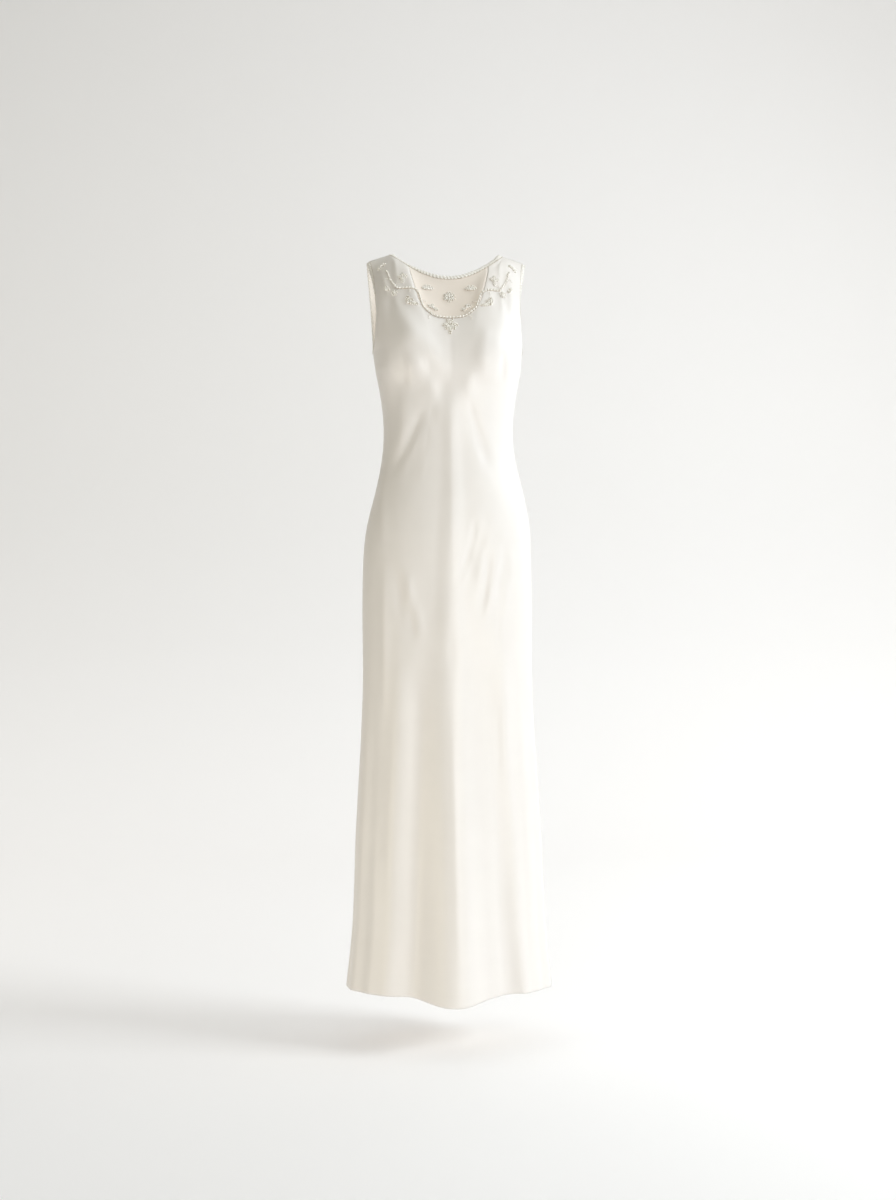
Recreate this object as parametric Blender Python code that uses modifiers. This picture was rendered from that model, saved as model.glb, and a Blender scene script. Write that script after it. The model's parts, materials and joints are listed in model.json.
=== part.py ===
"""Column gown: sleeveless, floor length, filled out as if worn, with nothing inside it.

Metres, +Z up, the front towards -Y and the wearer's left at +X. The origin is on the shoulder
line, midway between the two shoulder seams, where the wearer holds the gown up.
"""

import functools
import math
from collections import namedtuple
from itertools import chain

import bmesh
import bpy
from mathutils import Vector
from mathutils.bvhtree import BVHTree

# Cloth and seams
CLOTH = 0.0016
SEAM_GAP = 0.0003
SLIT_GAP = 0.0010
FRONT, BACK = -1, 1

# Levels, measured from the shoulder line
UNDERARM = -0.2010
SLIT_FOOT = -0.160
HEM = -1.4810
HEM_DIP, HEM_DIP_TURN = 0.014, 16.0
BACK_DIP, BACK_DIP_TURN = 0.006, 60.0

# Shoulders, neck and yoke, at the panels' cut edges
SHOULDER_TIP = Vector((0.1585, 0.0, -0.0090))
NECK_POINT = Vector((0.1150, 0.0, 0.0055))
FRONT_NECK = Vector((0.0, -0.0700, -0.0550))
BACK_NECK = Vector((0.0, 0.0560, -0.0370))
NECK_CURVE, NECK_ROUND = 0.9, 0.62
NECK_TILT, SHOULDER_TILT = 26.0, 87.0
RISE_PULL, ARRIVAL_PULL = 0.9, 0.85
YOKE_TOP = 0.0810
YOKE_FOOT = 0.0450
YOKE_COLUMN = 0.30

# The yoke's lower edge seen from the front: its level at the centre, and the rise at half its width
YOKE_LEVEL = -0.1405
YOKE_HALF_WIDTH, YOKE_RISE, YOKE_BEND = 0.0540, 0.0235, 3

# Edge bindings: how far they stand from the cut edge, and how thick they are
NECK_BINDING = 0.0060
ARM_BINDING = 0.0042
BINDING_THICK = 0.0030
BINDING_GAP = 0.0005
SHARPEST_MITRE = 0.6
NECK_MIDDLE = Vector((0.0, 0.0, 0.02))
ARM_MIDDLE = Vector((0.150, -0.020, -0.110))

# Cross-sections, outside the cloth: half the width, the depths forward and back from the side
# seam, which lies at "seam" in Y, and how far the section leans to the wearer's left
Section = namedtuple("Section", "level half_width front back seam lean")
SECTIONS = (
    Section(-0.2010, 0.1500, 0.0960, 0.1150, -0.0340, 0.0005),
    Section(-0.2360, 0.1465, 0.0980, 0.1110, -0.0345, 0.0015),
    Section(-0.2980, 0.1358, 0.0940, 0.1010, -0.0350, 0.0020),
    Section(-0.3570, 0.1308, 0.0910, 0.0930, -0.0350, 0.0020),
    Section(-0.4160, 0.1356, 0.0930, 0.0970, -0.0340, 0.0030),
    Section(-0.4820, 0.1500, 0.1000, 0.1130, -0.0330, 0.0045),
    Section(-0.5450, 0.1640, 0.1060, 0.1280, -0.0320, 0.0025),
    Section(-0.6050, 0.1695, 0.1080, 0.1330, -0.0310, 0.0005),
    Section(-0.7070, 0.1720, 0.1060, 0.1300, -0.0300, 0.0005),
    Section(-0.8750, 0.1722, 0.1000, 0.1180, -0.0300, 0.0015),
    Section(-0.9940, 0.1770, 0.0970, 0.1130, -0.0300, 0.0030),
    Section(-1.1760, 0.1875, 0.0960, 0.1150, -0.0300, 0.0050),
    Section(-1.3580, 0.1945, 0.0970, 0.1220, -0.0300, 0.0065),
    Section(-1.4700, 0.2048, 0.0990, 0.1280, -0.0300, 0.0065),
    Section(-1.5100, 0.2085, 0.1000, 0.1300, -0.0300, 0.0065),
)
ROUNDNESS = 0.91

# Bust: two low swells under the cloth
BUST_APART = 0.0860
BUST_LEVEL = -0.2080
BUST_RISE = 0.0210
BUST_WIDE = 0.0520
BUST_ABOVE, BUST_BELOW = 0.0620, 0.0520

# Armhole edge, from the underarm to the shoulder tip: two handles for each half
ARM_HANDLES = {
    FRONT: (Vector((0.1470, -0.0900, -0.1975)), Vector((0.1365, -0.0860, -0.1000))),
    BACK: (Vector((0.1465, 0.0260, -0.1975)), Vector((0.1535, 0.0560, -0.1000))),
}
ARM_PULL = 3

# Soft folds. "turn" goes round the body in degrees: 0 is the centre front, 90 the wearer's left
# side seam and 180 the centre back. Widths and heights are in metres at the upper and lower end.
Fold = namedtuple("Fold", "turn level wide high turn_low level_low wide_low high_low")
FOLDS = (
    # Centre front ridge, thin under the bust and a broad cone at the hem
    Fold(0, -0.270, 0.011, 0.0030, 0, -0.800, 0.018, 0.0065),
    Fold(0, -0.640, 0.024, 0.0000, 1, -1.510, 0.050, 0.0480),
    # Drag lines from each bust point to the centre, then out to the hips
    Fold(-33, -0.200, 0.022, 0.0030, -3, -0.305, 0.013, 0.0030),
    Fold(33, -0.200, 0.022, 0.0030, 3, -0.305, 0.013, 0.0030),
    Fold(-12, -0.320, 0.012, -0.0035, -34, -0.470, 0.015, -0.0030),
    Fold(14, -0.330, 0.012, -0.0022, 34, -0.450, 0.014, -0.0022),
    # Drag lines from the hips down to the thigh
    Fold(-38, -0.630, 0.011, -0.0030, -20, -0.770, 0.013, -0.0025),
    Fold(22, -0.545, 0.010, -0.0030, 8, -0.660, 0.012, -0.0025),
    Fold(38, -0.600, 0.011, -0.0030, 26, -0.740, 0.012, -0.0025),
    # Long skirt folds in front
    Fold(-34, -0.780, 0.022, 0.0035, -37, -1.470, 0.026, 0.0060),
    Fold(-19, -0.800, 0.018, -0.0025, -21, -1.480, 0.024, -0.0080),
    Fold(22, -0.800, 0.018, -0.0020, 29, -1.490, 0.022, -0.0060),
    Fold(35, -0.760, 0.020, 0.0035, 41, -1.510, 0.026, 0.0110),
    Fold(-62, -0.820, 0.022, -0.0015, -64, -1.510, 0.030, -0.0060),
    Fold(64, -0.840, 0.022, -0.0015, 66, -1.510, 0.030, -0.0060),
    # The back: a fold each side of the seam, with hollows between
    Fold(180, -0.700, 0.030, -0.0020, 180, -1.510, 0.030, -0.0090),
    Fold(155, -0.700, 0.024, 0.0030, 153, -1.510, 0.036, 0.0200),
    Fold(-154, -0.720, 0.024, 0.0030, -152, -1.510, 0.036, 0.0180),
    Fold(126, -0.760, 0.024, -0.0020, 126, -1.510, 0.034, -0.0090),
    Fold(-124, -0.780, 0.024, -0.0020, -125, -1.510, 0.034, -0.0090),
    Fold(104, -0.860, 0.026, 0.0020, 102, -1.510, 0.032, 0.0070),
    Fold(-103, -0.840, 0.026, 0.0020, -101, -1.510, 0.032, 0.0070),
    Fold(160, -0.330, 0.014, -0.0020, 138, -0.440, 0.018, -0.0025),
    Fold(-158, -0.335, 0.014, -0.0020, -137, -0.445, 0.018, -0.0025),
)
FOLD_FADE = 0.16
FOLD_PAST_END = 1.05
OPEN_FOLD = 0.05

# Dart troughs, which start under the bust points
DART_TURN = 42.0
DART_TOP, DART_FOOT = -0.205, -0.262
DART_WIDE, DART_DEEP = 0.0055, 0.0028

# Mesh density
FRONT_COLUMNS = 34
CENTRE_CROWD = 0.30
BACK_COLUMNS = 13
BACK_CROWD = 0.10
SKIRT_ROWS = 15
BODY_ROWS = 12
CHEST_ROWS = 5
STRAP_ROWS = 6
SPLIT_LEVEL = -0.62
SHARP = math.radians(50)
PROBE = 0.004

# Beaded trim, seen from the front on the wearer's left and mirrored on the right
TRIM_GAP = 0.0006
VINE_WIDE, VINE_HIGH = 0.0042, 0.0016
VINE_STEPS = 3
Place = namedtuple("Place", "x z")
VINE = (
    Place(0.0006, -0.1408),
    Place(0.0130, -0.1400),
    Place(0.0290, -0.1375),
    Place(0.0430, -0.1285),
    Place(0.0540, -0.1170),
    Place(0.0596, -0.1018),
    Place(0.0640, -0.0910),
    Place(0.0708, -0.0834),
    Place(0.0850, -0.0800),
    Place(0.1018, -0.0795),
    Place(0.1090, -0.0720),
    Place(0.1165, -0.0600),
    Place(0.1215, -0.0435),
    Place(0.1238, -0.0395),
)

# Motifs of petals or leaves round one point. Directions are in degrees: 0 points to the wearer's
# left and 90 up. Each leaf is (direction, length, width), on one of the directions 6, 18, 30 ...
MOTIF_HIGH = 0.0020
MOTIF_CORE = 0.0022
MOTIF_SIDE, MOTIF_CROWN = 0.45, 0.6
MOTIF_STEPS, MOTIF_FIRST = 30, 6.0
Motif = namedtuple("Motif", "name x z leaves")
CENTRE_MOTIFS = (
    Motif(
        "drop",
        0.0,
        -0.1525,
        (
            (270, 0.0240, 0.0070),
            (234, 0.0170, 0.0070),
            (306, 0.0170, 0.0070),
            (198, 0.0165, 0.0062),
            (342, 0.0165, 0.0062),
            (54, 0.0110, 0.0062),
            (126, 0.0110, 0.0062),
        ),
    ),
    Motif("rosette", 0.0, -0.0960, tuple((turn, 0.0125, 0.0095) for turn in range(30, 390, 60))),
)
SIDE_MOTIFS = (
    Motif("leaf", 0.0338, -0.1200, ((30, 0.0110, 0.0058), (210, 0.0115, 0.0058), (90, 0.0085, 0.0052))),
    Motif(
        "trefoil",
        0.0430,
        -0.0800,
        ((18, 0.0125, 0.0062), (66, 0.0115, 0.0066), (114, 0.0115, 0.0066), (162, 0.0125, 0.0062)),
    ),
    Motif("curl", 0.0830, -0.1120, ((90, 0.0170, 0.0080), (138, 0.0140, 0.0070), (186, 0.0225, 0.0058))),
    Motif("ring_flower", 0.1085, -0.0890, tuple((turn, 0.0072, 0.0064) for turn in range(18, 378, 72))),
    Motif(
        "spray",
        0.0922,
        -0.0600,
        ((42, 0.0115, 0.0062), (90, 0.0150, 0.0070), (138, 0.0125, 0.0065), (270, 0.0105, 0.0055)),
    ),
    Motif("side_leaf", 0.1235, -0.0825, ((66, 0.0110, 0.0060), (162, 0.0065, 0.0052))),
    Motif(
        "shoulder_leaf",
        0.1330,
        -0.0260,
        ((138, 0.0100, 0.0058), (102, 0.0090, 0.0055), (282, 0.0115, 0.0058), (330, 0.0090, 0.0055)),
    ),
)

# Button and loop at the nape
BUTTON_PLACE = Place(0.0078, -0.0500)
BUTTON_STEM, BUTTON_HEAD = 0.0022, 0.0050
BUTTON_UNDER, BUTTON_HIGH = 0.0026, 0.0056
BUTTON_STEPS = 18
LOOP_THICK = 0.0017
LOOP_REACH = 0.0062
LOOP_STEPS, LOOP_SIDES = 10, 8


def mix(a, b, share):
    return a + (b - a) * share


def ease(share):
    share = min(1.0, max(0.0, share))
    return share * share * (3.0 - 2.0 * share)


def power(value, exponent):
    return math.copysign(abs(value) ** exponent, value)


def hermite(start, start_slope, end, end_slope, share):
    """A cubic from start to end with the given slopes."""
    square, cube = share * share, share**3
    return (
        start * (2 * cube - 3 * square + 1)
        + start_slope * (cube - 2 * square + share)
        + end * (3 * square - 2 * cube)
        + end_slope * (cube - square)
    )


def mirrored(point, side):
    return Vector((side * point.x, point.y, point.z))


def bezier(first, second, third, fourth, share):
    back = 1.0 - share
    return (
        first * back**3
        + second * (3 * back * back * share)
        + third * (3 * back * share * share)
        + fourth * share**3
    )


def slope_at(index):
    """How the sizes of the sections change with height, at one row of the table."""
    low = SECTIONS[min(index + 1, len(SECTIONS) - 1)]
    high = SECTIONS[max(index - 1, 0)]
    return [(a - b) / (high.level - low.level) for a, b in zip(high[1:], low[1:])]


def section_at(level):
    """Smoothly interpolated (half width, front, back, seam, lean) at a level."""
    level = min(SECTIONS[0].level, max(SECTIONS[-1].level, level))
    index = next(i for i in range(len(SECTIONS) - 1) if level >= SECTIONS[i + 1].level)
    high, low = SECTIONS[index], SECTIONS[index + 1]
    drop = high.level - low.level
    share = (high.level - level) / drop
    sizes = []
    for a, b, rise_a, rise_b in zip(high[1:], low[1:], slope_at(index), slope_at(index + 1)):
        sizes.append(hermite(a, -rise_a * drop, b, -rise_b * drop, share))
    return sizes


def turn_of(half, across):
    """The angle round the body of a place from -1 to 1 across one half."""
    if half == FRONT:
        return 90.0 * across
    return math.copysign(180.0, across) - 90.0 * across


def hem_level(half, across):
    """The hem hangs lowest at the centre front and dips a little again behind the side seams."""
    turn = turn_of(half, across)
    front_dip = HEM_DIP * math.exp(-((turn / HEM_DIP_TURN) ** 2))
    return HEM - front_dip - BACK_DIP * ease((abs(turn) - 100.0) / BACK_DIP_TURN)


def ring_point(half, across, level):
    """A point of the closed form below the underarm, without folds."""
    half_width, front, back, seam, lean = section_at(level)
    depth = front if half == FRONT else back
    angle = math.radians(90.0 * across)
    x = lean + half_width * power(math.sin(angle), ROUNDNESS)
    y = seam + half * depth * abs(math.cos(angle)) ** ROUNDNESS
    return Vector((x, y, level))


def neckline(half, x):
    """The neckline's point at x."""
    share = min(1.0, abs(x) / NECK_POINT.x)
    dip = FRONT_NECK if half == FRONT else BACK_NECK
    curve = math.cos(share * math.pi / 2) ** NECK_CURVE if share < 1.0 else 0.0
    z = mix(NECK_POINT.z, dip.z, curve)
    y = dip.y * (1.0 - share * share) ** NECK_ROUND if share < 1.0 else 0.0
    return Vector((x, y, z))


def top_place(across):
    """How far out, in x, a column of the panel ends at its top."""
    out = abs(across)
    if out <= YOKE_COLUMN:
        return YOKE_TOP * out / YOKE_COLUMN
    return mix(YOKE_TOP, SHOULDER_TIP.x, (out - YOKE_COLUMN) / (1.0 - YOKE_COLUMN))


def foot_place(across):
    """The matching place across the closed form at the underarm."""
    out = abs(across)
    half_width = SECTIONS[0].half_width
    yoke = math.degrees(math.asin((YOKE_FOOT / half_width) ** (1 / ROUNDNESS))) / 90.0
    if out <= YOKE_COLUMN:
        return math.copysign(yoke * out / YOKE_COLUMN, across)
    share = (out - YOKE_COLUMN) / (1.0 - YOKE_COLUMN)
    return math.copysign(mix(yoke, 1.0, share), across)


def spread(across, level):
    """Columns keep even steps in the skirt and follow the yoke's edge at the underarm."""
    share = ease((level - SPLIT_LEVEL) / (UNDERARM - SPLIT_LEVEL))
    return mix(across, foot_place(across), share)


def top_edge(half, across):
    """The end of a column at the top, and the direction in which the cloth arrives there."""
    x = math.copysign(top_place(across), across)
    if abs(x) <= NECK_POINT.x:
        share = abs(x) / NECK_POINT.x
        tilt = math.radians(mix(NECK_TILT, SHOULDER_TILT, share**2))
        arrival = Vector((0.0, -half * math.sin(tilt), math.cos(tilt)))
        return neckline(half, x), arrival
    share = (abs(x) - NECK_POINT.x) / (SHOULDER_TIP.x - NECK_POINT.x)
    place = NECK_POINT.lerp(SHOULDER_TIP, share)
    tilt = math.radians(SHOULDER_TILT)
    arrival = Vector((0.0, -half * math.sin(tilt), math.cos(tilt)))
    return Vector((x, 0.0, place.z)), arrival


def column(half, across, share):
    """A free column of the chest or upper back, before the armhole pulls it in.

    Towards the side the columns start slowly, because the armhole's edge leaves the underarm level.
    """
    share = mix(share, share * share, across * across)
    start = ring_point(half, foot_place(across), UNDERARM)
    below = ring_point(half, foot_place(across), UNDERARM - PROBE)
    end, arrival = top_edge(half, across)
    reach = (end - start).length
    rise = (start - below) / PROBE
    return hermite(start, rise * reach * RISE_PULL, end, arrival * reach * ARRIVAL_PULL, share)


def armhole(half, across, share):
    """A point of the armhole's cut edge, from the underarm to the shoulder tip."""
    side = math.copysign(1.0, across)
    under = ring_point(half, side, UNDERARM)
    handles = [mirrored(handle, side) for handle in ARM_HANDLES[half]]
    return bezier(under, *handles, mirrored(SHOULDER_TIP, side), share)


def chest_point(half, across, share):
    """A point above the underarm: a free column, drawn to the armhole's edge at the side."""
    point = column(half, across, share)
    side = math.copysign(1.0, across)
    pull = armhole(half, side, share) - column(half, side, share)
    return point + pull * abs(across) ** ARM_PULL


def plain_point(half, across, row):
    """The form without bust or folds. "row" runs from -1 at the hem, past 0 at the underarm, to 1."""
    if row > 0.0:
        return chest_point(half, across, row)
    level = mix(UNDERARM, hem_level(half, across), -row)
    return ring_point(half, spread(across, level), level)


def bust(half, across, point):
    """Two low swells, which fade to nothing at the side seams and armholes."""
    if half == BACK:
        return 0.0
    tall = BUST_ABOVE if point.z > BUST_LEVEL else BUST_BELOW
    sideways = (abs(point.x) - BUST_APART) / BUST_WIDE
    upwards = (point.z - BUST_LEVEL) / tall
    return BUST_RISE * math.exp(-(sideways**2) - upwards**2) * (1.0 - across**4)


def darts(turn, level, radius):
    along = (level - DART_FOOT) / (DART_TOP - DART_FOOT)
    if not 0.0 < along < 1.0:
        return 0.0
    sideways = math.radians(abs(turn) - DART_TURN) * radius / DART_WIDE
    return -DART_DEEP * math.sin(math.pi * along) * math.exp(-(sideways**2))


def fold_height(fold, turn, level, radius):
    share = (fold.level - level) / (fold.level - fold.level_low)
    if not 0.0 < share <= FOLD_PAST_END:
        return 0.0
    line = mix(fold.turn, fold.turn_low, share)
    apart = (turn - line + 180.0) % 360.0 - 180.0
    sideways = math.radians(apart) * radius / mix(fold.wide, fold.wide_low, share)
    ends = ease(share / FOLD_FADE)
    if fold.level_low > HEM + OPEN_FOLD:
        ends *= ease((1.0 - share) / FOLD_FADE)
    return mix(fold.high, fold.high_low, share) * ends * math.exp(-(sideways**2))


def relief(half, across, row, point):
    """How far bust, darts and folds lift the cloth off the plain form."""
    lift = bust(half, across, point)
    if row > 0.0:
        return lift
    turn = turn_of(half, spread(across, point.z))
    radius = section_at(point.z)[0]
    lift += sum(fold_height(fold, turn, point.z, radius) for fold in FOLDS)
    if half == FRONT:
        lift += darts(turn, point.z, radius)
    return lift


def on_shoulder(across, row):
    return row == 1.0 and top_place(across) >= NECK_POINT.x - 1e-6


def gown_point(half, across, row, out=0.0):
    """A point on the outside of the cloth, or "out" beyond it, and the direction outwards."""
    left, right = max(-1.0, across - PROBE), min(1.0, across + PROBE)
    low, high = max(-1.0, row - PROBE), min(1.0, row + PROBE)
    sideways = plain_point(half, right, row) - plain_point(half, left, row)
    upwards = plain_point(half, across, high) - plain_point(half, across, low)
    outwards = (sideways.cross(upwards) * -half).normalized()
    if on_shoulder(across, row) or (abs(across) == 1.0 and row <= 0.0):
        outwards.y = 0.0
    if across == 0.0:
        outwards.x = 0.0
    outwards.normalize()
    point = plain_point(half, across, row)
    return point + outwards * (relief(half, across, row, point) + out), outwards


def material(name, colour, roughness, metallic=0.0):
    made = bpy.data.materials.new(name)
    made.use_nodes = True
    shader = made.node_tree.nodes["Principled BSDF"]
    shader.inputs["Base Color"].default_value = (*colour, 1.0)
    shader.inputs["Roughness"].default_value = roughness
    shader.inputs["Metallic"].default_value = metallic
    return made


def add_object(name, mesh, finish, collection):
    made = bpy.data.objects.new(name, mesh)
    made.data.materials.append(finish)
    collection.objects.link(made)
    return made


def cells(points):
    """Every four-cornered cell of a grid that is stored column by column."""
    for i in range(len(points) - 1):
        for j in range(len(points[i]) - 1):
            yield i, j, (points[i][j], points[i + 1][j], points[i + 1][j + 1], points[i][j + 1])


def halves(half, across, first, second, third, fourth):
    """The cell as two triangles that face outwards, split alike on both sides of the centre."""
    if across >= 0.0:
        faces = (first, second, third), (first, third, fourth)
    else:
        faces = (first, second, fourth), (second, third, fourth)
    return faces if half == FRONT else [face[::-1] for face in faces]


def wall_mesh(name, half, columns, rows_of, keep, place):
    """A wall of cloth over columns and rows; place(across, row, out) gives each corner.

    Both skins are placed by one rule, so that every cut edge stays square to its seam.
    """
    made = bmesh.new()
    outer = [[made.verts.new(place(a, r, 0.0)) for r in rows_of(a)] for a in columns]
    inner = [[made.verts.new(place(a, r, -CLOTH)) for r in rows_of(a)] for a in columns]
    under = dict(zip(chain(*outer), chain(*inner)))
    for i, j, corners in cells(outer):
        if keep(i, j):
            for face in halves(half, columns[i], *corners):
                made.faces.new(face)
    for loop in [e.link_loops[0] for e in made.edges if e.is_boundary]:
        here, there = loop.vert, loop.link_loop_next.vert
        made.faces.new((there, here, under[here], under[there]))
    for face in [f for f in made.faces if all(v in under for v in f.verts)]:
        made.faces.new([under[v] for v in reversed(face.verts)])
    loose = [v for v in made.verts if not v.link_faces]
    bmesh.ops.delete(made, geom=loose, context="VERTS")
    return finished_mesh(name, made)


def finished_mesh(name, made):
    mesh = bpy.data.meshes.new(name)
    made.to_mesh(mesh)
    made.free()
    mesh.shade_smooth()
    mesh.set_sharp_from_angle(angle=SHARP)
    return mesh


def column_at(x):
    """The column that ends at a given x on the top edge."""
    if x <= YOKE_TOP:
        return YOKE_COLUMN * x / YOKE_TOP
    return mix(YOKE_COLUMN, 1.0, (x - YOKE_TOP) / (SHOULDER_TIP.x - YOKE_TOP))


def snapped(places, target):
    """The same places, with the one nearest to the target moved onto it."""
    nearest = min(range(1, len(places) - 1), key=lambda i: abs(places[i] - target))
    return places[:nearest] + [target] + places[nearest + 1 :]


def half_columns(count, crowding, targets):
    """Places from the centre to the side, closer together at the centre, with one on each target."""
    steps = [i / count for i in range(count + 1)]
    places = [mix(u, u**3, crowding) for u in steps]
    for target in targets:
        places = snapped(places, target)
    return places


def front_columns():
    places = half_columns(FRONT_COLUMNS // 2, CENTRE_CROWD, (YOKE_COLUMN, column_at(NECK_POINT.x)))
    return [-p for p in reversed(places[1:])] + places


def back_columns(side):
    places = half_columns(BACK_COLUMNS, BACK_CROWD, (column_at(NECK_POINT.x),))
    return places if side > 0 else [-p for p in reversed(places)]


@functools.cache
def yoke_row(across):
    """The row on which the yoke's lower edge lies, found by halving; past the yoke it stays level."""
    across = min(abs(across), YOKE_COLUMN)
    low, high = 0.0, 1.0
    for _ in range(30):
        middle = (low + high) / 2
        point = plain_point(FRONT, across, middle)
        edge = YOKE_LEVEL + YOKE_RISE * (point.x / YOKE_HALF_WIDTH) ** YOKE_BEND
        low, high = (middle, high) if point.z < edge else (low, middle)
    return low


def lower_rows():
    """Rows from the hem to the underarm, closer together above the hips."""
    split = (SPLIT_LEVEL - UNDERARM) / (UNDERARM - HEM)
    skirt = [mix(-1.0, split, i / SKIRT_ROWS) for i in range(SKIRT_ROWS)]
    return skirt + [mix(split, 0.0, i / BODY_ROWS) for i in range(BODY_ROWS)]


def panel_rows(across):
    edge = yoke_row(across)
    chest = [edge * i / CHEST_ROWS for i in range(CHEST_ROWS)]
    strap = [mix(edge, 1.0, i / STRAP_ROWS) for i in range(STRAP_ROWS + 1)]
    return lower_rows() + chest + strap


def panel_place(half, side=0):
    """Places a panel's corners, half of the seam gap back from the side and shoulder seams."""

    def place(across, row, out):
        point = gown_point(half, across, row, out)[0]
        if side and across == 0.0:
            gap = SLIT_GAP if point.z > SLIT_FOOT else SEAM_GAP
            point.x += side * gap / 2
        if on_shoulder(across, row) or (abs(across) == 1.0 and row <= 0.0):
            point.y += half * SEAM_GAP / 2
        return point

    return place


def make_front(finish, collection):
    """The whole front from shoulder to hem, cut away for the yoke."""
    columns = front_columns()
    first_strap_row = len(lower_rows()) + CHEST_ROWS

    def keep(i, j):
        in_yoke = max(abs(columns[i]), abs(columns[i + 1])) <= YOKE_COLUMN
        return not (in_yoke and j >= first_strap_row)

    mesh = wall_mesh("front", FRONT, columns, panel_rows, keep, panel_place(FRONT))
    return add_object("front", mesh, finish, collection)


def make_yoke(finish, collection):
    """The sheer piece between the front's cut-out and the neckline."""
    inner = [across for across in front_columns() if abs(across) <= YOKE_COLUMN]
    narrower = 1.0 - SEAM_GAP / YOKE_TOP

    def rows(across):
        start = yoke_row(across) + SEAM_GAP / (FRONT_NECK.z - UNDERARM)
        return [mix(start, 1.0, i / STRAP_ROWS) for i in range(STRAP_ROWS + 1)]

    def place(across, row, out):
        return gown_point(FRONT, across * narrower, row, out)[0]

    mesh = wall_mesh("yoke", FRONT, inner, rows, lambda i, j: True, place)
    return add_object("yoke", mesh, finish, collection)


def make_back(name, side, finish, collection):
    """One half of the back, from the centre seam to the side seam."""
    place = panel_place(BACK, side)
    mesh = wall_mesh(name, BACK, back_columns(side), panel_rows, lambda i, j: True, place)
    return add_object(name, mesh, finish, collection)


def sweep_mesh(name, frames, outline, closed):
    """A bar of one outline carried along frames of (place, side, out). Ends are capped."""
    made = bmesh.new()
    loops = []
    for place, side, out in frames:
        loops.append([made.verts.new(place + side * a + out * b) for a, b in outline])
    count = len(loops) if closed else len(loops) - 1
    corners = len(outline)
    for i in range(count):
        here, there = loops[i], loops[(i + 1) % len(loops)]
        for j in range(corners):
            k = (j + 1) % corners
            made.faces.new((here[j], here[k], there[k], there[j]))
    if not closed:
        made.faces.new(loops[0][::-1])
        made.faces.new(loops[-1])
    bmesh.ops.recalc_face_normals(made, faces=made.faces)
    return finished_mesh(name, made)


def edge_frames(places, outs, towards, closed=False):
    """Frames along an edge: place, the direction off the edge towards a point, and outwards.

    At a corner the direction off the edge is lengthened, so that a strip keeps its width there.
    """
    frames = []
    count = len(places)
    for i, (place, out) in enumerate(zip(places, outs)):
        before = places[i - 1] if closed or i else place
        after = places[(i + 1) % count] if closed or i < count - 1 else place
        along = (after - before).normalized()
        side = along.cross(out).normalized()
        if side.dot(towards - place) < 0.0:
            side.negate()
        square = side.cross(along).normalized()
        if square.dot(out) < 0.0:
            square.negate()
        straight = abs((after - place).normalized().dot(along)) if after is not place else 1.0
        frames.append((place, side / max(straight, SHARPEST_MITRE), square))
    return frames


def binding_outline(width):
    """A narrow rounded bar, standing off the cut edge and centred on the wall."""
    low, high = BINDING_GAP, BINDING_GAP + width
    inner = -CLOTH / 2 - BINDING_THICK / 2
    outer = inner + BINDING_THICK
    bevel = BINDING_THICK * 0.3
    return (
        (low, inner),
        (high - bevel, inner),
        (high, inner + bevel),
        (high, outer - bevel),
        (high - bevel, outer),
        (low, outer),
    )


def make_neck_binding(finish, collection):
    """One strip round the neck, open at the slit in the centre back."""
    neck = column_at(NECK_POINT.x)
    left, right = back_columns(1), back_columns(-1)
    ring = [(BACK, a) for a in reversed(right) if a >= -neck]
    ring += [(FRONT, a) for a in front_columns() if abs(a) < neck]
    ring += [(BACK, a) for a in reversed(left) if a <= neck]
    edge = [gown_point(half, across, 1.0) for half, across in ring]
    places = [point for point, _ in edge]
    outs = [out for _, out in edge]
    places[0].x -= SLIT_GAP / 2
    places[-1].x += SLIT_GAP / 2
    frames = edge_frames(places, outs, NECK_MIDDLE)
    mesh = sweep_mesh("neck_binding", frames, binding_outline(NECK_BINDING), closed=False)
    return add_object("neck_binding", mesh, finish, collection)


def make_arm_binding(name, side, finish, collection):
    """A closed strip round one armhole."""
    rows = [row for row in panel_rows(side) if row >= 0.0]
    ring = [gown_point(FRONT, side, row) for row in rows[:-1]]
    ring += [gown_point(BACK, side, row) for row in reversed(rows[1:])]
    places = [point for point, _ in ring]
    outs = [out for _, out in ring]
    frames = edge_frames(places, outs, mirrored(ARM_MIDDLE, side), closed=True)
    mesh = sweep_mesh(name, frames, binding_outline(ARM_BINDING), closed=True)
    return add_object(name, mesh, finish, collection)


def skin_of(half, columns):
    """The outside of the cloth above the underarm, without its seam gaps, to lay trim on."""
    rows = len([row for row in panel_rows(0.0) if row >= 0.0])
    points = [gown_point(half, a, row)[0] for a in columns for row in panel_rows(a)[-rows:]]
    numbers = [[i * rows + j for j in range(rows)] for i in range(len(columns))]
    faces = [face for i, _, corners in cells(numbers) for face in halves(half, columns[i], *corners)]
    return BVHTree.FromPolygons(points, faces)


def on_skin(skin, half, x, z):
    """The place on the cloth seen at (x, z) from the front or back, and the direction outwards."""
    spots = []
    for across, up in ((0, 0), (-PROBE, 0), (PROBE, 0), (0, -PROBE), (0, PROBE)):
        start = Vector((x + across, half, z + up))
        spots.append(skin.ray_cast(start, Vector((0.0, -half, 0.0)))[0])
    place, left, right, low, high = spots
    return place, ((right - left).cross(high - low) * -half).normalized()


def smooth_route(places, steps):
    """Points on a smooth curve through the places, with some steps between each two."""
    route = []
    ends = [places[0], *places, places[-1]]
    for i in range(1, len(ends) - 2):
        before, here, there, after = (Vector(p) for p in ends[i - 1 : i + 3])
        for step in range(steps):
            share = step / steps
            route.append(hermite(here, (there - before) / 2, there, (after - here) / 2, share))
    route.append(Vector(places[-1]))
    return route


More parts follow.
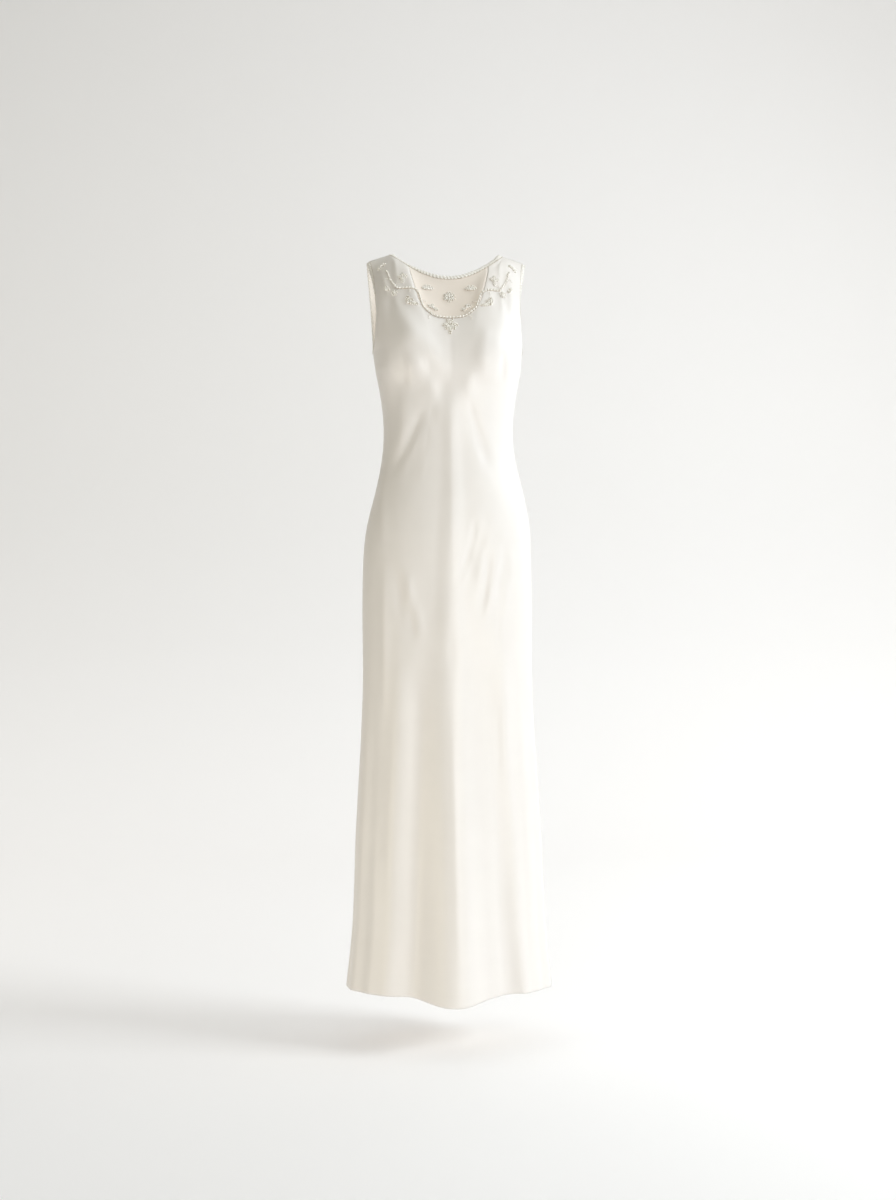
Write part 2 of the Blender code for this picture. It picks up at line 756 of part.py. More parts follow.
def make_vine(name, side, skin, finish, collection):
    """The beaded stem that covers the yoke's seam and climbs to the shoulder."""
    spots = [on_skin(skin, FRONT, side * p.x, p.y) for p in smooth_route(VINE, VINE_STEPS)]
    places = [place for place, _ in spots]
    outs = [out for _, out in spots]
    frames = edge_frames(places, outs, NECK_MIDDLE)
    half_wide, top = VINE_WIDE / 2, TRIM_GAP + VINE_HIGH
    shoulder = TRIM_GAP + VINE_HIGH / 2
    outline = (
        (-half_wide, TRIM_GAP),
        (half_wide, TRIM_GAP),
        (half_wide, shoulder),
        (half_wide / 2, top),
        (-half_wide / 2, top),
        (-half_wide, shoulder),
    )
    mesh = sweep_mesh(name, frames, outline, closed=False)
    return add_object(name, mesh, finish, collection)


def leaf_reach(leaf, turn):
    """How far an oval leaf, which starts at the motif's centre, reaches in one direction."""
    direction, length, width = leaf
    angle = math.radians(turn - direction)
    if math.cos(angle) <= 0.0:
        return 0.0
    along, across = (width * math.cos(angle)) ** 2, (length * math.sin(angle)) ** 2
    return length * width**2 * math.cos(angle) / (along + across)


def make_motif(name, motif, side, skin, finish, collection):
    """One raised motif: a flat underside on the cloth and a low dome above it."""
    motif_reach = max(length for _, length, _ in motif.leaves)
    centre, out = on_skin(skin, FRONT, side * motif.x, motif.z)
    sideways = Vector((0.0, 0.0, 1.0)).cross(out).normalized() * side
    upwards = out.cross(sideways * side)

    def raised(reach, turn, height):
        angle = math.radians(turn)
        flat = sideways * reach * math.cos(angle) + upwards * reach * math.sin(angle)
        foot = skin.ray_cast(centre + flat + out * motif_reach, -out)[0]
        return foot + out * height

    made = bmesh.new()
    turns = [MOTIF_FIRST + 360.0 * i / MOTIF_STEPS for i in range(MOTIF_STEPS)]
    reaches = [max(MOTIF_CORE, *(leaf_reach(leaf, turn) for leaf in motif.leaves)) for turn in turns]
    top = TRIM_GAP + MOTIF_HIGH
    levels = ((1.0, TRIM_GAP), (1.0, mix(TRIM_GAP, top, MOTIF_SIDE)), (MOTIF_CROWN, top))
    rings = []
    for share, height in levels:
        rings.append([made.verts.new(raised(r * share, t, height)) for r, t in zip(reaches, turns)])
    foot, crown = made.verts.new(raised(0.0, 0.0, TRIM_GAP)), made.verts.new(raised(0.0, 0.0, top))
    for i in range(MOTIF_STEPS):
        j = (i + 1) % MOTIF_STEPS
        made.faces.new((foot, rings[0][j], rings[0][i]))
        made.faces.new((crown, rings[2][i], rings[2][j]))
        for low, high in zip(rings, rings[1:]):
            made.faces.new((low[i], low[j], high[j], high[i]))
    bmesh.ops.recalc_face_normals(made, faces=made.faces)
    return add_object(name, finished_mesh(name, made), finish, collection)


def make_button(skin, finish, collection):
    """A domed covered button on a short stem, sewn to the left half beside the slit."""
    place, out = on_skin(skin, BACK, BUTTON_PLACE.x, BUTTON_PLACE.z)
    profile = (
        (0.0, BUTTON_HIGH),
        (BUTTON_HEAD * 0.55, BUTTON_HIGH * 0.95),
        (BUTTON_HEAD * 0.90, BUTTON_HIGH * 0.80),
        (BUTTON_HEAD, BUTTON_HIGH * 0.64),
        (BUTTON_HEAD * 0.90, BUTTON_UNDER),
        (BUTTON_STEM, BUTTON_UNDER),
        (BUTTON_STEM, SEAM_GAP),
        (0.0, SEAM_GAP),
    )
    mesh = bpy.data.meshes.new("back_button")
    edges = [(i, i + 1) for i in range(len(profile) - 1)]
    mesh.from_pydata([(r, 0.0, z) for r, z in profile], edges, [])
    button = add_object("back_button", mesh, finish, collection)
    button.location = place
    button.rotation_euler = out.to_track_quat("Z", "Y").to_euler()
    turned = button.modifiers.new("Turned", "SCREW")
    turned.steps = turned.render_steps = BUTTON_STEPS
    turned.use_merge_vertices = True
    turned.merge_threshold = 0.0001
    return button


def make_loop(skin, finish, collection):
    """A cord loop from the right half, over the slit and round the button's stem."""
    across = BUTTON_STEM + SEAM_GAP + LOOP_THICK / 2
    bend = [math.pi / 2 - math.pi * i / LOOP_STEPS for i in range(LOOP_STEPS + 1)]
    route = [(-LOOP_REACH, across), (0.0, across)]
    route += [(BUTTON_PLACE.x + across * math.cos(a), across * math.sin(a)) for a in bend]
    route += [(0.0, -across), (-LOOP_REACH, -across)]
    spots = [on_skin(skin, BACK, x, BUTTON_PLACE.z + up) for x, up in route]
    places = [place for place, _ in spots]
    outs = [out for _, out in spots]
    button = on_skin(skin, BACK, BUTTON_PLACE.x, BUTTON_PLACE.z)[0]
    frames = edge_frames(places, outs, button)
    radius = LOOP_THICK / 2
    middle = SEAM_GAP + radius
    corners = [2 * math.pi * i / LOOP_SIDES for i in range(LOOP_SIDES)]
    outline = [(radius * math.cos(a), middle + radius * math.sin(a)) for a in corners]
    mesh = sweep_mesh("back_loop", frames, outline, closed=False)
    return add_object("back_loop", mesh, finish, collection)


def clear_scene():
    for found in list(bpy.data.objects):
        bpy.data.objects.remove(found)


def build():
    clear_scene()
    gown = bpy.data.collections.new("column_gown")
    bpy.context.scene.collection.children.link(gown)
    satin = material("ivory satin", (0.83, 0.79, 0.70), 0.42)
    net = material("ivory net", (0.80, 0.74, 0.65), 0.60)
    trim = material("ivory binding", (0.82, 0.78, 0.68), 0.40)
    beads = material("pearl beading", (0.88, 0.84, 0.76), 0.30)
    make_front(satin, gown)
    make_yoke(net, gown)
    make_back("back_left", 1, satin, gown)
    make_back("back_right", -1, satin, gown)
    make_neck_binding(trim, gown)
    front_skin = skin_of(FRONT, front_columns())
    back_skin = skin_of(BACK, back_columns(-1)[:-1] + back_columns(1))
    for motif in CENTRE_MOTIFS:
        make_motif(motif.name, motif, 1, front_skin, beads, gown)
    for side, hand in ((1, "left"), (-1, "right")):
        make_arm_binding(f"armhole_binding_{hand}", side, trim, gown)
        make_vine(f"vine_{hand}", side, front_skin, beads, gown)
        for motif in SIDE_MOTIFS:
            make_motif(f"{motif.name}_{hand}", motif, side, front_skin, beads, gown)
    make_button(back_skin, trim, gown)
    make_loop(back_skin, trim, gown)


build()
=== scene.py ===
"""Looks of a sleeveless satin column gown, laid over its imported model.

The satin panels, the net yoke, the rolled bindings, the beadwork, the nape button and the hem are
fine shells and strings worked out from the model's own walls. Metres, +Z up, front towards -Y.
"""

import functools
import json
import math
from collections import Counter, namedtuple

import bmesh
import bpy
import numpy as np
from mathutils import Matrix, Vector
from mathutils.bvhtree import BVHTree

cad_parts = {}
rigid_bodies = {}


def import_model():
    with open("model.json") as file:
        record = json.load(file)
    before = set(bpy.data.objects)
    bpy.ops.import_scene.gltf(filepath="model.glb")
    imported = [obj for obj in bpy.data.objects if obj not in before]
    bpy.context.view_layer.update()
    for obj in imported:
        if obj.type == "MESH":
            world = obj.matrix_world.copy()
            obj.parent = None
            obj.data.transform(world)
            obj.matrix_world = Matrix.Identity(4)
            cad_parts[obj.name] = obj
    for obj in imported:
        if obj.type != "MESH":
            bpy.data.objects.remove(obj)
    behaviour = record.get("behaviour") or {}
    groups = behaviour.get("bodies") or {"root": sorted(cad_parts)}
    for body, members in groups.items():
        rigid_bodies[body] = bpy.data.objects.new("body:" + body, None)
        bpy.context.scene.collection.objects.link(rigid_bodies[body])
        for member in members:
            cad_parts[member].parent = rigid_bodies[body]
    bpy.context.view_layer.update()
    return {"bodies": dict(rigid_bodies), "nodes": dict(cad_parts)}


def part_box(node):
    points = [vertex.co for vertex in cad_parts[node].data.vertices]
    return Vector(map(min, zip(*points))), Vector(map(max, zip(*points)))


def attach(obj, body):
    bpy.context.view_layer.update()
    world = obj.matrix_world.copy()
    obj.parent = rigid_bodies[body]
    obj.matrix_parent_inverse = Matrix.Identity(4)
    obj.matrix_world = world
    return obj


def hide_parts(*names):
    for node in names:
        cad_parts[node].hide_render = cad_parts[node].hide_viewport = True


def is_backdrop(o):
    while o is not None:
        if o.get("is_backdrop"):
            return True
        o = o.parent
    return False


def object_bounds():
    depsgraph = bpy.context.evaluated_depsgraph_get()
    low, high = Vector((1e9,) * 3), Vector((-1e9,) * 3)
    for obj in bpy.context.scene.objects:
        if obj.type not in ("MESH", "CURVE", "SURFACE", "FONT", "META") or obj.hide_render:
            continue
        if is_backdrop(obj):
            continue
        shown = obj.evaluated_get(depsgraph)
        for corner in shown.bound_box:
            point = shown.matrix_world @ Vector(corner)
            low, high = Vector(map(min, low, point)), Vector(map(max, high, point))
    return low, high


bl_info = {
    "name": "Column Gown Finish",
    "version": (1, 0, 0),
    "blender": (4, 5, 0),
    "location": "View3D > Sidebar > Gown",
    "description": "Dresses the model of a column gown in satin, net and beads",
    "category": "Object",
}

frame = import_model()
NODES = frame["nodes"]
BODY = next(iter(frame["bodies"]))

# Reading the walls
FRONT, BACK = -1, 1
HANDS = ((1, "left"), (-1, "right"))
MERGE = 0.00001
RIM_ANGLE = math.radians(55)
GOWN_AXIS = Vector((0.0, -0.03, 0.0))
SEAM_REACH = 0.001
CAP_FACES = 12
UP = Vector((0.0, 0.0, 1.0))

# Seams, in metres from the seam's line
SEAM_DEEP, SEAM_WIDE = 0.0006, 0.0022
PUCKER_DEEP, PUCKER_WIDE, PUCKER_STEP = 0.0003, 0.0080, 0.0210
PUCKER_DRIFT, PUCKER_DRIFT_STEP = 1.7, 0.031
HEM_RIDGE, HEM_RIDGE_WIDE = 0.0003, 0.0030

# The slit at the nape: its foot, its gap, how soon it closes, and how far it draws the cloth aside
SLIT_FOOT, SLIT_GAP, SLIT_CLOSING, SLIT_PULL = -0.160, 0.0010, 0.012, 0.006

# Slow unevenness of hanging cloth: wavelength and height. It is drawn out upwards
RIPPLES = ((0.150, 0.00055), (0.085, 0.00035), (0.050, 0.00018))
UPRIGHT = 0.35
RIPPLE_SEEDS = {FRONT: 11, BACK: 12}

# Fine mesh: a cell is this many times as tall as it is wide
TALLER = 1.15

# Paths have at least this many places
FEWEST = 4

# Creases fade out towards their ends, the side seams and the top edge
CREASE_FADE, SIDE_FADE, TOP_FADE = 0.35, 0.030, 0.020

# Where a crease starts and ends across and up, its bow, width and height, in millimetres
Crease = namedtuple("Crease", "x z x_end z_end bow wide high")
FRONT_CREASES = (
    (-108, -100, -67, -207, 0, 18, 3.4),
    (-80, -185, 3, -320, 0, 18, -3),
    (-104, -128, 0, -260, 0, 20, 3.4),
    (-137, -28, -116, -111, 0, 5, 1.3),
    (-98, 33, -61, -140, 0, 12, 4.4),
    (104, 71, 98, -149, 0, 16, -5),
    (-124, -90, -128, -346, 0, 13, 1.2),
    (73, -147, 57, -235, 0, 11, 2),
    (-143, -35, -90, -138, 0, 6, 1.3),
    (102, -45, 106, -140, 0, 5, 1),
    (73, -40, 48, -127, 0, 6, 1.4),
    (-96, -197, -88, -289, 0, 8, -2.2),
    (104, -204, 106, -272, 0, 5, -2),
    (-86, -261, -102, -452, 0, 14, 3),
    (-20, -298, -85, -492, 0, 12, 2.8),
    (-44, -295, -124, -463, 4, 11, -4),
    (36, -295, 75, -405, -4, 7, -1.4),
    (2, -288, 0, -620, 0, 6, 0.4),
    (0, -560, 2, -900, 0, 10, -0.8),
    (2, -897, 16, -1509, 0, 7, 1.4),
    (-132, -422, -132, -619, 0, 9, 2.5),
    (-130, -579, -128, -960, 0, 9, 2.7),
    (-139, -880, -151, -1314, 0, 18, -2.8),
    (63, -528, 17, -677, 0, 10, 1.8),
    (52, -529, 10, -675, 6, 8, -3.4),
    (101, -580, 65, -760, 0, 11, 1.4),
    (75, -580, 57, -743, 5, 8.5, -3),
    (-103, -610, -50, -790, 0, 11, 2.8),
    (-110, -611, -90, -783, -4, 9, -1.8),
    (96, -709, 96, -803, 0, 5, -1.3),
    (94, -884, 98, -1090, 0, 6, -1.3),
    (62, -800, 104, -1750, 0, 20, 3),
    (110, -780, 154, -1800, 0, 24, -6.2),
)
BACK_CREASES = (
    (52, -95, 85, -215, -6, 10, 1.4),
    (-60, -105, -88, -225, 5, 11, 1.6),
    (18, -270, 70, -400, 8, 10, -2.6),
    (-22, -290, -82, -415, -7, 11, -3),
    (45, -345, 105, -430, 0, 8, -1.8),
    (-88, -330, -112, -440, 3, 8, -1.6),
    (30, -520, 58, -680, 5, 8, -2.2),
    (-48, -560, -30, -700, -5, 7, -2),
    (-92, -600, -70, -760, -4, 8, -2.2),
    (90, -640, 82, -790, 0, 7, -1.8),
    (110, -800, 118, -1200, 6, 16, -2.6),
    (-100, -760, -112, -1120, 0, 15, -2.4),
    (-55, -880, -60, -1260, 4, 12, 2.2),
    (62, -930, 66, -1330, 0, 13, 2),
)

# Bindings, button and loop
NECK_MIDDLE = np.array((0.0, 0.0, 0.02))
ARM_MIDDLE = np.array((0.150, -0.020, -0.110))
NECK_WIDTH, ARM_WIDTH = 0.0065, 0.0047
EDGE_STEP, EDGE_PASSES = 0.002, 6
NECK_STITCH_OFF, ARM_STITCH_OFF = 0.0024, 0.0030
ROLL_OVER, ROLL_THICK, ROLL_SINK = 0.0016, 0.0036, 0.0008
ROLL_STEP, ROLL_PITCH, ROLL_SWELL = 0.0008, 0.0072, 0.26
BUTTON_TALL, BUTTON_STEPS, NAPE_SLOPE = 0.0056, 40, 0.1
TACK_WIDTH, TACK_BEHIND, TACK_PLACES = 0.0050, 0.06, 9
HEM_STITCH_STEP, HEM_INSET = 0.0085, 1.2
BUTTON_NECK = ((0.0, 0.0), (0.42, 0.0), (0.42, 0.40), (0.62, 0.44))
LOOP_THICK, LOOP_STEP = 0.0017, 0.0006

# Swept bars: how their twist drifts along them, and what one side takes up in the UV map
TWIST_DRIFT, TWIST_DRIFT_STEP = 0.5, 0.0093
SIDE_WIDE = 0.0008
CORD_PITCH, CORD_SWELL, LOOP_SWELL = 0.0021, 0.14, 0.10

# Woven and grained finishes, each in the colour of the same name
Weave = namedtuple("Weave", "name roughness sheen threads relief alpha")
WEAVES = {
    "satin": Weave("ivory satin", 0.40, 0.12, 2600.0, 0.10, 1.0),
    "wrong_side": Weave("satin wrong side", 0.70, 0.10, 1800.0, 0.25, 1.0),
    "binding": Weave("rolled satin binding", 0.42, 0.15, 2600.0, 0.12, 1.0),
    "net": Weave("ivory net", 0.62, 0.20, 900.0, 0.30, 0.88),
}
PEARLY = {"Roughness": 0.22, "Coat Weight": 0.6, "Coat Roughness": 0.12, "Sheen Weight": 0.1}
Grain = namedtuple("Grain", "name shade scale detail relief settings")
GRAINS = {
    # The thread's dark colour is partly painted shade: the rims round the petals, the line beneath the pearl
    # stems and the row beneath the neck roll
    "thread": Grain("embroidery thread", 0.85, 1800.0, 2.0, 0.4, {"Roughness": 0.55, "Sheen Weight": 0.2}),
    "silk": Grain("petal silk", 0.92, 1400.0, 1.0, 0.25, {"Roughness": 0.33, "Sheen Weight": 0.1}),
    "pearl": Grain("seed pearl", 0.90, 260.0, 1.0, 0.0, PEARLY),
}
DARKER, LIGHTER, GLOSS_DRIFT = 0.975, 1.02, 0.04
BUMP_DEPTH = 0.0002

# Beadwork
VINES = ("vine_left", "vine_right")
MOTIFS = [n for n in NODES if not n.startswith(("front", "yoke", "back", "neck", "armhole", "vine"))]
SPOKES = 30
SMALLEST_PETAL = 0.0045
PETAL_STEPS = 20
# Dark thread pads just wider than the petals: stitched outlines, and partly painted shade round the raised
# petals
OUTLINE_AND_SHADE_LEVELS = ((1.02, -0.0004), (1.04, 0.0002), (0.96, 0.0005), (0.50, 0.0005))
PETAL_LEVELS = ((0.48, 0.0002), (0.52, 0.0012), (0.46, 0.0021), (0.30, 0.0027), (0.09, 0.0030))
PETAL_RIM, RIM_TURN, RIM_PLACES = 0.90, 0.72, 25
PETAL_MIDDLE, PETAL_HALF = 0.53, 0.47
PETAL_WIDEST, PETAL_BLUNTEST = 0.8, 0.98
BEAD_LIFT, HUB_SIZE = 0.9, 1.1
VINE_STEP, STEM_STEP, STEM_ASIDE = 0.001, 2.9, 0.0006
TENDRILS = ((0.16, 1, 0.016), (0.33, -1, 0.014), (0.52, 1, 0.015), (0.70, -1, 0.015), (0.86, 1, 0.013))
TENDRIL_TURN, TENDRIL_PLACES = 2.3, 12

# Stage
COVE_START, COVE_RADIUS, COVE_REACH, COVE_STEPS = 2.4, 1.6, 8.0, 24
ROOM_COLOUR, ROOM_STRENGTH = (1.0, 0.978, 0.80), 0.145
WALL_COLOUR = (0.80, 0.785, 0.76)
# What a lamp lights: all, the gown, the gown without shadows (open), the floor and the wall (floor),
# those without shadows (room), or the gown and, without shadows, the room (both)
Lamp = namedtuple("Lamp", "name kind place aim size power colour lights")
GOWN, WALL = (0.0, 0.0, -0.7), (0.6, 4.0, 0.0)
RIGHT_WALL, LEFT_WALL = (1.2, 4.0, -0.3), (-2.0, 4.0, -0.4)
LAMPS = (
    Lamp("window", "AREA", (3.0, -1.3, 1.3), GOWN, (2.4, 1.6), 74.0, (0.86, 0.935, 1.0), "gown"),
    Lamp("window on the floor", "AREA", (3.0, -1.1, 0.2), GOWN, (1.3, 0.8), 72.0, (0.90, 0.95, 1.0), "floor"),
    Lamp("window behind", "AREA", (3.3, 0.7, 0.4), GOWN, (1.6, 2.0), 10.0, (0.75, 0.90, 1.0), "all"),
    Lamp("front wall", "AREA", (1.9, -4.4, -0.9), GOWN, (2.6, 1.3), 72.5, (1.0, 0.985, 0.93), "open"),
    Lamp("ceiling", "SUN", (0.0, 0.0, 3.0), GOWN, (1.2, 0.0), 0.78, (1.0, 0.985, 0.84), "gown"),
    Lamp("floor glow", "AREA", (-1.7, -1.0, -1.40), GOWN, (0.8, 0.4), 6.8, (1.0, 0.90, 0.66), "gown"),
    Lamp("room from above", "SUN", (0.0, 0.0, 3.0), GOWN, (1.2, 0.0), 1.20, (0.985, 0.98, 1.0), "room"),
    Lamp("room from the front", "SUN", (1.0, -4.6, 0.3), GOWN, (1.2, 0.0), 0.30, (1.0, 0.99, 0.97), "room"),
    Lamp("wall wash", "AREA", (1.1, 0.6, 3.0), WALL, (3.6, 1.0), 29.0, (0.96, 0.95, 1.0), "both"),
    Lamp("right wash", "AREA", (3.0, 1.0, 0.3), RIGHT_WALL, (1.0, 1.6), 23.0, (0.96, 0.97, 1.0), "both"),
    Lamp("left wash", "AREA", (-2.5, 0.3, 0.5), LEFT_WALL, (1.0, 1.0), 12.0, (1.0, 0.94, 0.88), "both"),
)
CAMERA_AIM = Vector((0.0041, 0.0, -0.699))
CAMERA_TURN, CAMERA_DISTANCE = -4.0, 3.41


def smooth(share):
    share = np.clip(share, 0.0, 1.0)
    return share * share * (3.0 - 2.0 * share)


def full_turn(steps):
    """Even angles once round."""
    return [2 * math.pi * i / steps for i in range(steps)]


def lengths_over(points, axis=0):
    """Distances along a path, or along one axis of a grid of points, from the start."""
    steps = np.linalg.norm(np.diff(points, axis=axis), axis=-1)
    start = np.zeros_like(np.take(steps, [0], axis=axis))
    return np.concatenate([start, np.cumsum(steps, axis=axis)], axis=axis)


def unit(vectors):
    return vectors / np.linalg.norm(vectors, axis=-1, keepdims=True)


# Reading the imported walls


def welded(node):
    """A copy of a node's mesh with its loose triangles joined."""
    made = bmesh.new()
    made.from_mesh(NODES[node].data)
    bmesh.ops.remove_doubles(made, verts=made.verts, dist=MERGE)
    made.verts.index_update()
    made.normal_update()
    return made


def regions(made, angle):
    """The faces in groups that are parted by edges sharper than an angle, the largest first."""
    left = set(made.faces)
    found = []
    while left:
        start = left.pop()
        group, open_faces = [start], [start]
        while open_faces:
            face = open_faces.pop()
            for edge in face.edges:
                if len(edge.link_faces) != 2 or edge.calc_face_angle() > angle:
                    continue
                for other in edge.link_faces:
                    if other in left:
                        left.remove(other)
                        group.append(other)
                        open_faces.append(other)
        found.append(group)
    return sorted(found, key=len, reverse=True)


def outwardness(group):
    """How much a group of faces looks away from the gown's upright axis."""
    total = 0.0
    for face in group:
        away = face.calc_center_median() - GOWN_AXIS
        away.z = 0.0
        total += face.normal.dot(away) * face.calc_area()
    return total


def over_edges(group):
    """For each edge of a group of triangles, the corners that face it."""
    corners = {}
    for face in group:
        for edge in face.edges:
            key = frozenset(v.index for v in edge.verts)
            corners.setdefault(key, []).extend(v.index for v in face.verts if v not in edge.verts)
    return corners


def lower_edge(corners, group, places):
    """The vertices along a wall's lower edge, from its right end to its left end.

    A wall's corners are the places on its rim where fewer than three triangles meet.
    """
    beside = {}
    for key, facing in corners.items():
        if len(facing) == 1:
            a, b = key
            beside.setdefault(a, []).append(b)
            beside.setdefault(b, []).append(a)
    meeting = Counter(v.index for face in group for v in face.verts)
    lowest = sorted((v for v in beside if meeting[v] < 3), key=lambda v: places[v].z)[:2]
    first, last = sorted(lowest, key=lambda v: places[v].x)
    row = [first, min(beside[first], key=lambda v: places[v].z)]
    while row[-1] != last:
        row.append(next(v for v in beside[row[-1]] if v != row[-2]))
    return row


def next_row(corners, row, seen, middle):
    """The row of vertices above another. Its cells are split alike on both sides of the middle."""
    above = [None] * len(row)
    for i in range(len(row) - 1):
        first, second = row[i], row[i + 1]
        tip = [v for v in corners.get(frozenset((first, second)), ()) if v not in seen]
        if None in (first, second) or not tip:
            continue
        near, far, hinge = (i + 1, i, first) if i >= middle else (i, i + 1, second)
        above[near] = tip[0]
        above[far] = next(v for v in corners[frozenset((hinge, tip[0]))] if v not in seen)
    return above


def wall_grid(node, middle=None):
    """The outside of a wall node as an array of columns and rows of points."""
    made = welded(node)
    group = max(regions(made, RIM_ANGLE)[:2], key=outwardness)
    corners = over_edges(group)
    places = {v.index: v.co.copy() for v in made.verts}
    rows = [lower_edge(corners, group, places)]
    middle = len(rows[0]) // 2 if middle is None else middle
    seen = set(rows[0])
    while True:
        row = next_row(corners, rows[-1], seen, middle)
        if not any(v is not None for v in row):
            break
        seen.update(v for v in row if v is not None)
        rows.append(row)
    made.free()
    hole = (math.nan,) * 3
    columns = zip(*rows)
    return np.array([[hole if v is None else places[v] for v in column] for column in columns])


# Fine surfaces

Walls = namedtuple("Walls", "front back yoke_column yoke_rows underarm row_knots")
Cloth = namedtuple("Cloth", "half points outs across down column_marks row_marks")


def spline(knots, spots):
    """The matrix that takes values at the knots to a natural cubic spline's values at the spots."""
    count = len(knots)
    step = np.diff(knots)
    left, right = np.eye(count), np.zeros((count, count))
    for i in range(1, count - 1):
        left[i, i - 1 : i + 2] = step[i - 1], 2 * (step[i - 1] + step[i]), step[i]
        right[i, i - 1 : i + 2] = 6 / step[i - 1], -6 / step[i - 1] - 6 / step[i], 6 / step[i]
    bend = np.linalg.solve(left, right)
    place = np.clip(np.searchsorted(knots, spots, side="right") - 1, 0, count - 2)
    wide = step[place]
    share = (spots - knots[place]) / wide
    rest = 1 - share
    straight = rest[:, None] * np.eye(count)[place] + share[:, None] * np.eye(count)[place + 1]
    low, high = (rest**3 - rest)[:, None] * bend[place], (share**3 - share)[:, None] * bend[place + 1]
    return straight + (low + high) * (wide**2 / 6)[:, None]


def knots_along(grid, axis):
    """Mean distances along one axis of a grid of points."""
    return lengths_over(grid, axis).mean(axis=1 - axis)


def refined(knots, spacing):
    """Even steps between the knots, about a spacing long, and where the knots come among them."""
    counts = [max(1, round((b - a) / spacing)) for a, b in zip(knots, knots[1:])]
    spots = [np.linspace(a, b, n, endpoint=False) for a, b, n in zip(knots, knots[1:], counts)]
    return np.append(np.concatenate(spots), knots[-1]), np.concatenate([[0], np.cumsum(counts)])


def outs_of(half, points):
    """Directions out of the cloth at each point of a fine grid."""
    sideways = np.gradient(points, axis=0)
    upwards = np.gradient(points, axis=1)
    return unit(np.cross(sideways, upwards) * -half)


@functools.cache
def wall_grids():
    """The front, with the yoke in it, and the back, as grids whose seams meet."""
    front, yoke = wall_grid("front"), wall_grid("yoke")
    first = (len(front) - len(yoke)) // 2
    front[first + 1 : first + len(yoke) - 1, 1 - yoke.shape[1] :] = yoke[1:-1, 1:]
    right, left = wall_grid("back_right", len(front)), wall_grid("back_left", 0)
    back = np.concatenate([right[:-1], [(right[-1] + left[0]) / 2], left[1:]])
    for end in (0, -1):
        sewn = np.linalg.norm(front[end] - back[end], axis=1) < SEAM_REACH
        front[end, sewn] = back[end, sewn] = (front[end, sewn] + back[end, sewn]) / 2
    underarm = int(np.argmin(sewn)) - 1
    for grid in (front, back):
        shoulder = np.abs(grid[:, -1, 1]) < SEAM_REACH
        grid[shoulder, -1, 1] = 0.0
    row_knots = (knots_along(front, 1) + knots_along(back, 1)) / 2
    return Walls(front, back, first, yoke.shape[1] - 1, underarm, row_knots)


@functools.cache
def fine_cloth(half):
    """The front or the back as a fine surface, with its creases and seams."""
    grid = wall_grids().front if half == FRONT else wall_grids().back
    spacing = sizes().cloth_step
    columns, rows = knots_along(grid, 0), wall_grids().row_knots
    across, column_marks = refined(columns, spacing)
    down, row_marks = refined(rows, spacing * TALLER)
    points = np.einsum("ai,ijk,bj->abk", spline(columns, across), grid, spline(rows, down))
    outs = outs_of(half, points)
    lifted = points + outs * relief(half, points)[..., None]
    return Cloth(half, lifted, outs_of(half, lifted), across, down, column_marks, row_marks)


# Creases and small unevenness


def crease(x, z, row):
    """The height of one soft ridge or trough at places seen from its own side."""
    line = Crease(*(value / 1000 for value in row))
    along_x, along_z = line.x_end - line.x, line.z_end - line.z
    length = math.hypot(along_x, along_z)
    share = ((x - line.x) * along_x + (z - line.z) * along_z) / length**2
    off = ((x - line.x) * -along_z + (z - line.z) * along_x) / length
    off = off - line.bow * 4 * share * (1 - share)
    ends = smooth(share / CREASE_FADE) * smooth((1 - share) / CREASE_FADE)
    return line.high * ends * np.exp(-((off / line.wide) ** 2))


def ripples(x, z, seed):
    """Slow unevenness from a few crossing waves with fixed chances."""
    chance = np.random.default_rng(seed)
    total = np.zeros_like(x)
    for wave, high in RIPPLES:
        for _ in range(3):
            turn, start = chance.uniform(0.0, math.pi), chance.uniform(0.0, 2 * math.pi)
            along = x * math.cos(turn) + z * math.sin(turn) * UPRIGHT
            total += high / 3 * np.sin(2 * math.pi * along / wave + start)
    return total


def seam(off, along):
    """A shallow groove with soft puckers beside it, "off" metres away from a seam's line."""
    groove = -SEAM_DEEP * np.exp(-((off / SEAM_WIDE) ** 2))
    wave = np.sin(2 * math.pi * along / PUCKER_STEP + PUCKER_DRIFT * np.sin(along / PUCKER_DRIFT_STEP))
    return groove + PUCKER_DEEP * wave * (np.exp(-off / PUCKER_WIDE) - np.exp(-off / SEAM_WIDE))


def relief(half, points):
    """How far creases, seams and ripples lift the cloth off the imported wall."""
    x, z = points[..., 0], points[..., 2]
    around = lengths_over(points)
    up = lengths_over(points, 1)
    from_side = np.minimum(around, around[-1] - around)
    lift = sum(crease(x, z, row) for row in (FRONT_CREASES if half == FRONT else BACK_CREASES))
    lift = lift + ripples(x, z, RIPPLE_SEEDS[half])
    lift = lift * smooth(from_side / SIDE_FADE) * smooth((up[:, -1:] - up) / TOP_FADE)
    lift = lift + seam(from_side, up)
    if half == BACK:
        middle = len(points) // 2
        lift = lift + seam(np.abs(around - around[middle]), up)
    hem = up - sizes().hem
    return lift + HEM_RIDGE * np.exp(-((hem / HEM_RIDGE_WIDE) ** 2))


# Meshes


def new_object(name, data):
    made = bpy.data.objects.new(name, data)
    bpy.context.scene.collection.objects.link(made)
    return made


def add_piece(name, mesh, materials, nodes=()):
    """A new object at the origin, which rides on the gown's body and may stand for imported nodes."""
    for finish in materials:
        mesh.materials.append(finish)
    made = new_object(name, mesh)
    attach(made, BODY)
    if nodes:
        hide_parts(*nodes)
    return made


def grid_faces(wide, tall, around=False, flipped=False):
    """Four-cornered faces over a grid of points that is numbered column by column."""
    numbers = np.arange(wide * tall).reshape(wide, tall)
    if around:
        numbers = np.concatenate([numbers, numbers[:, :1]], axis=1)
    faces = np.stack([numbers[:-1, :-1], numbers[1:, :-1], numbers[1:, 1:], numbers[:-1, 1:]], axis=-1)
    return faces[..., ::-1] if flipped else faces


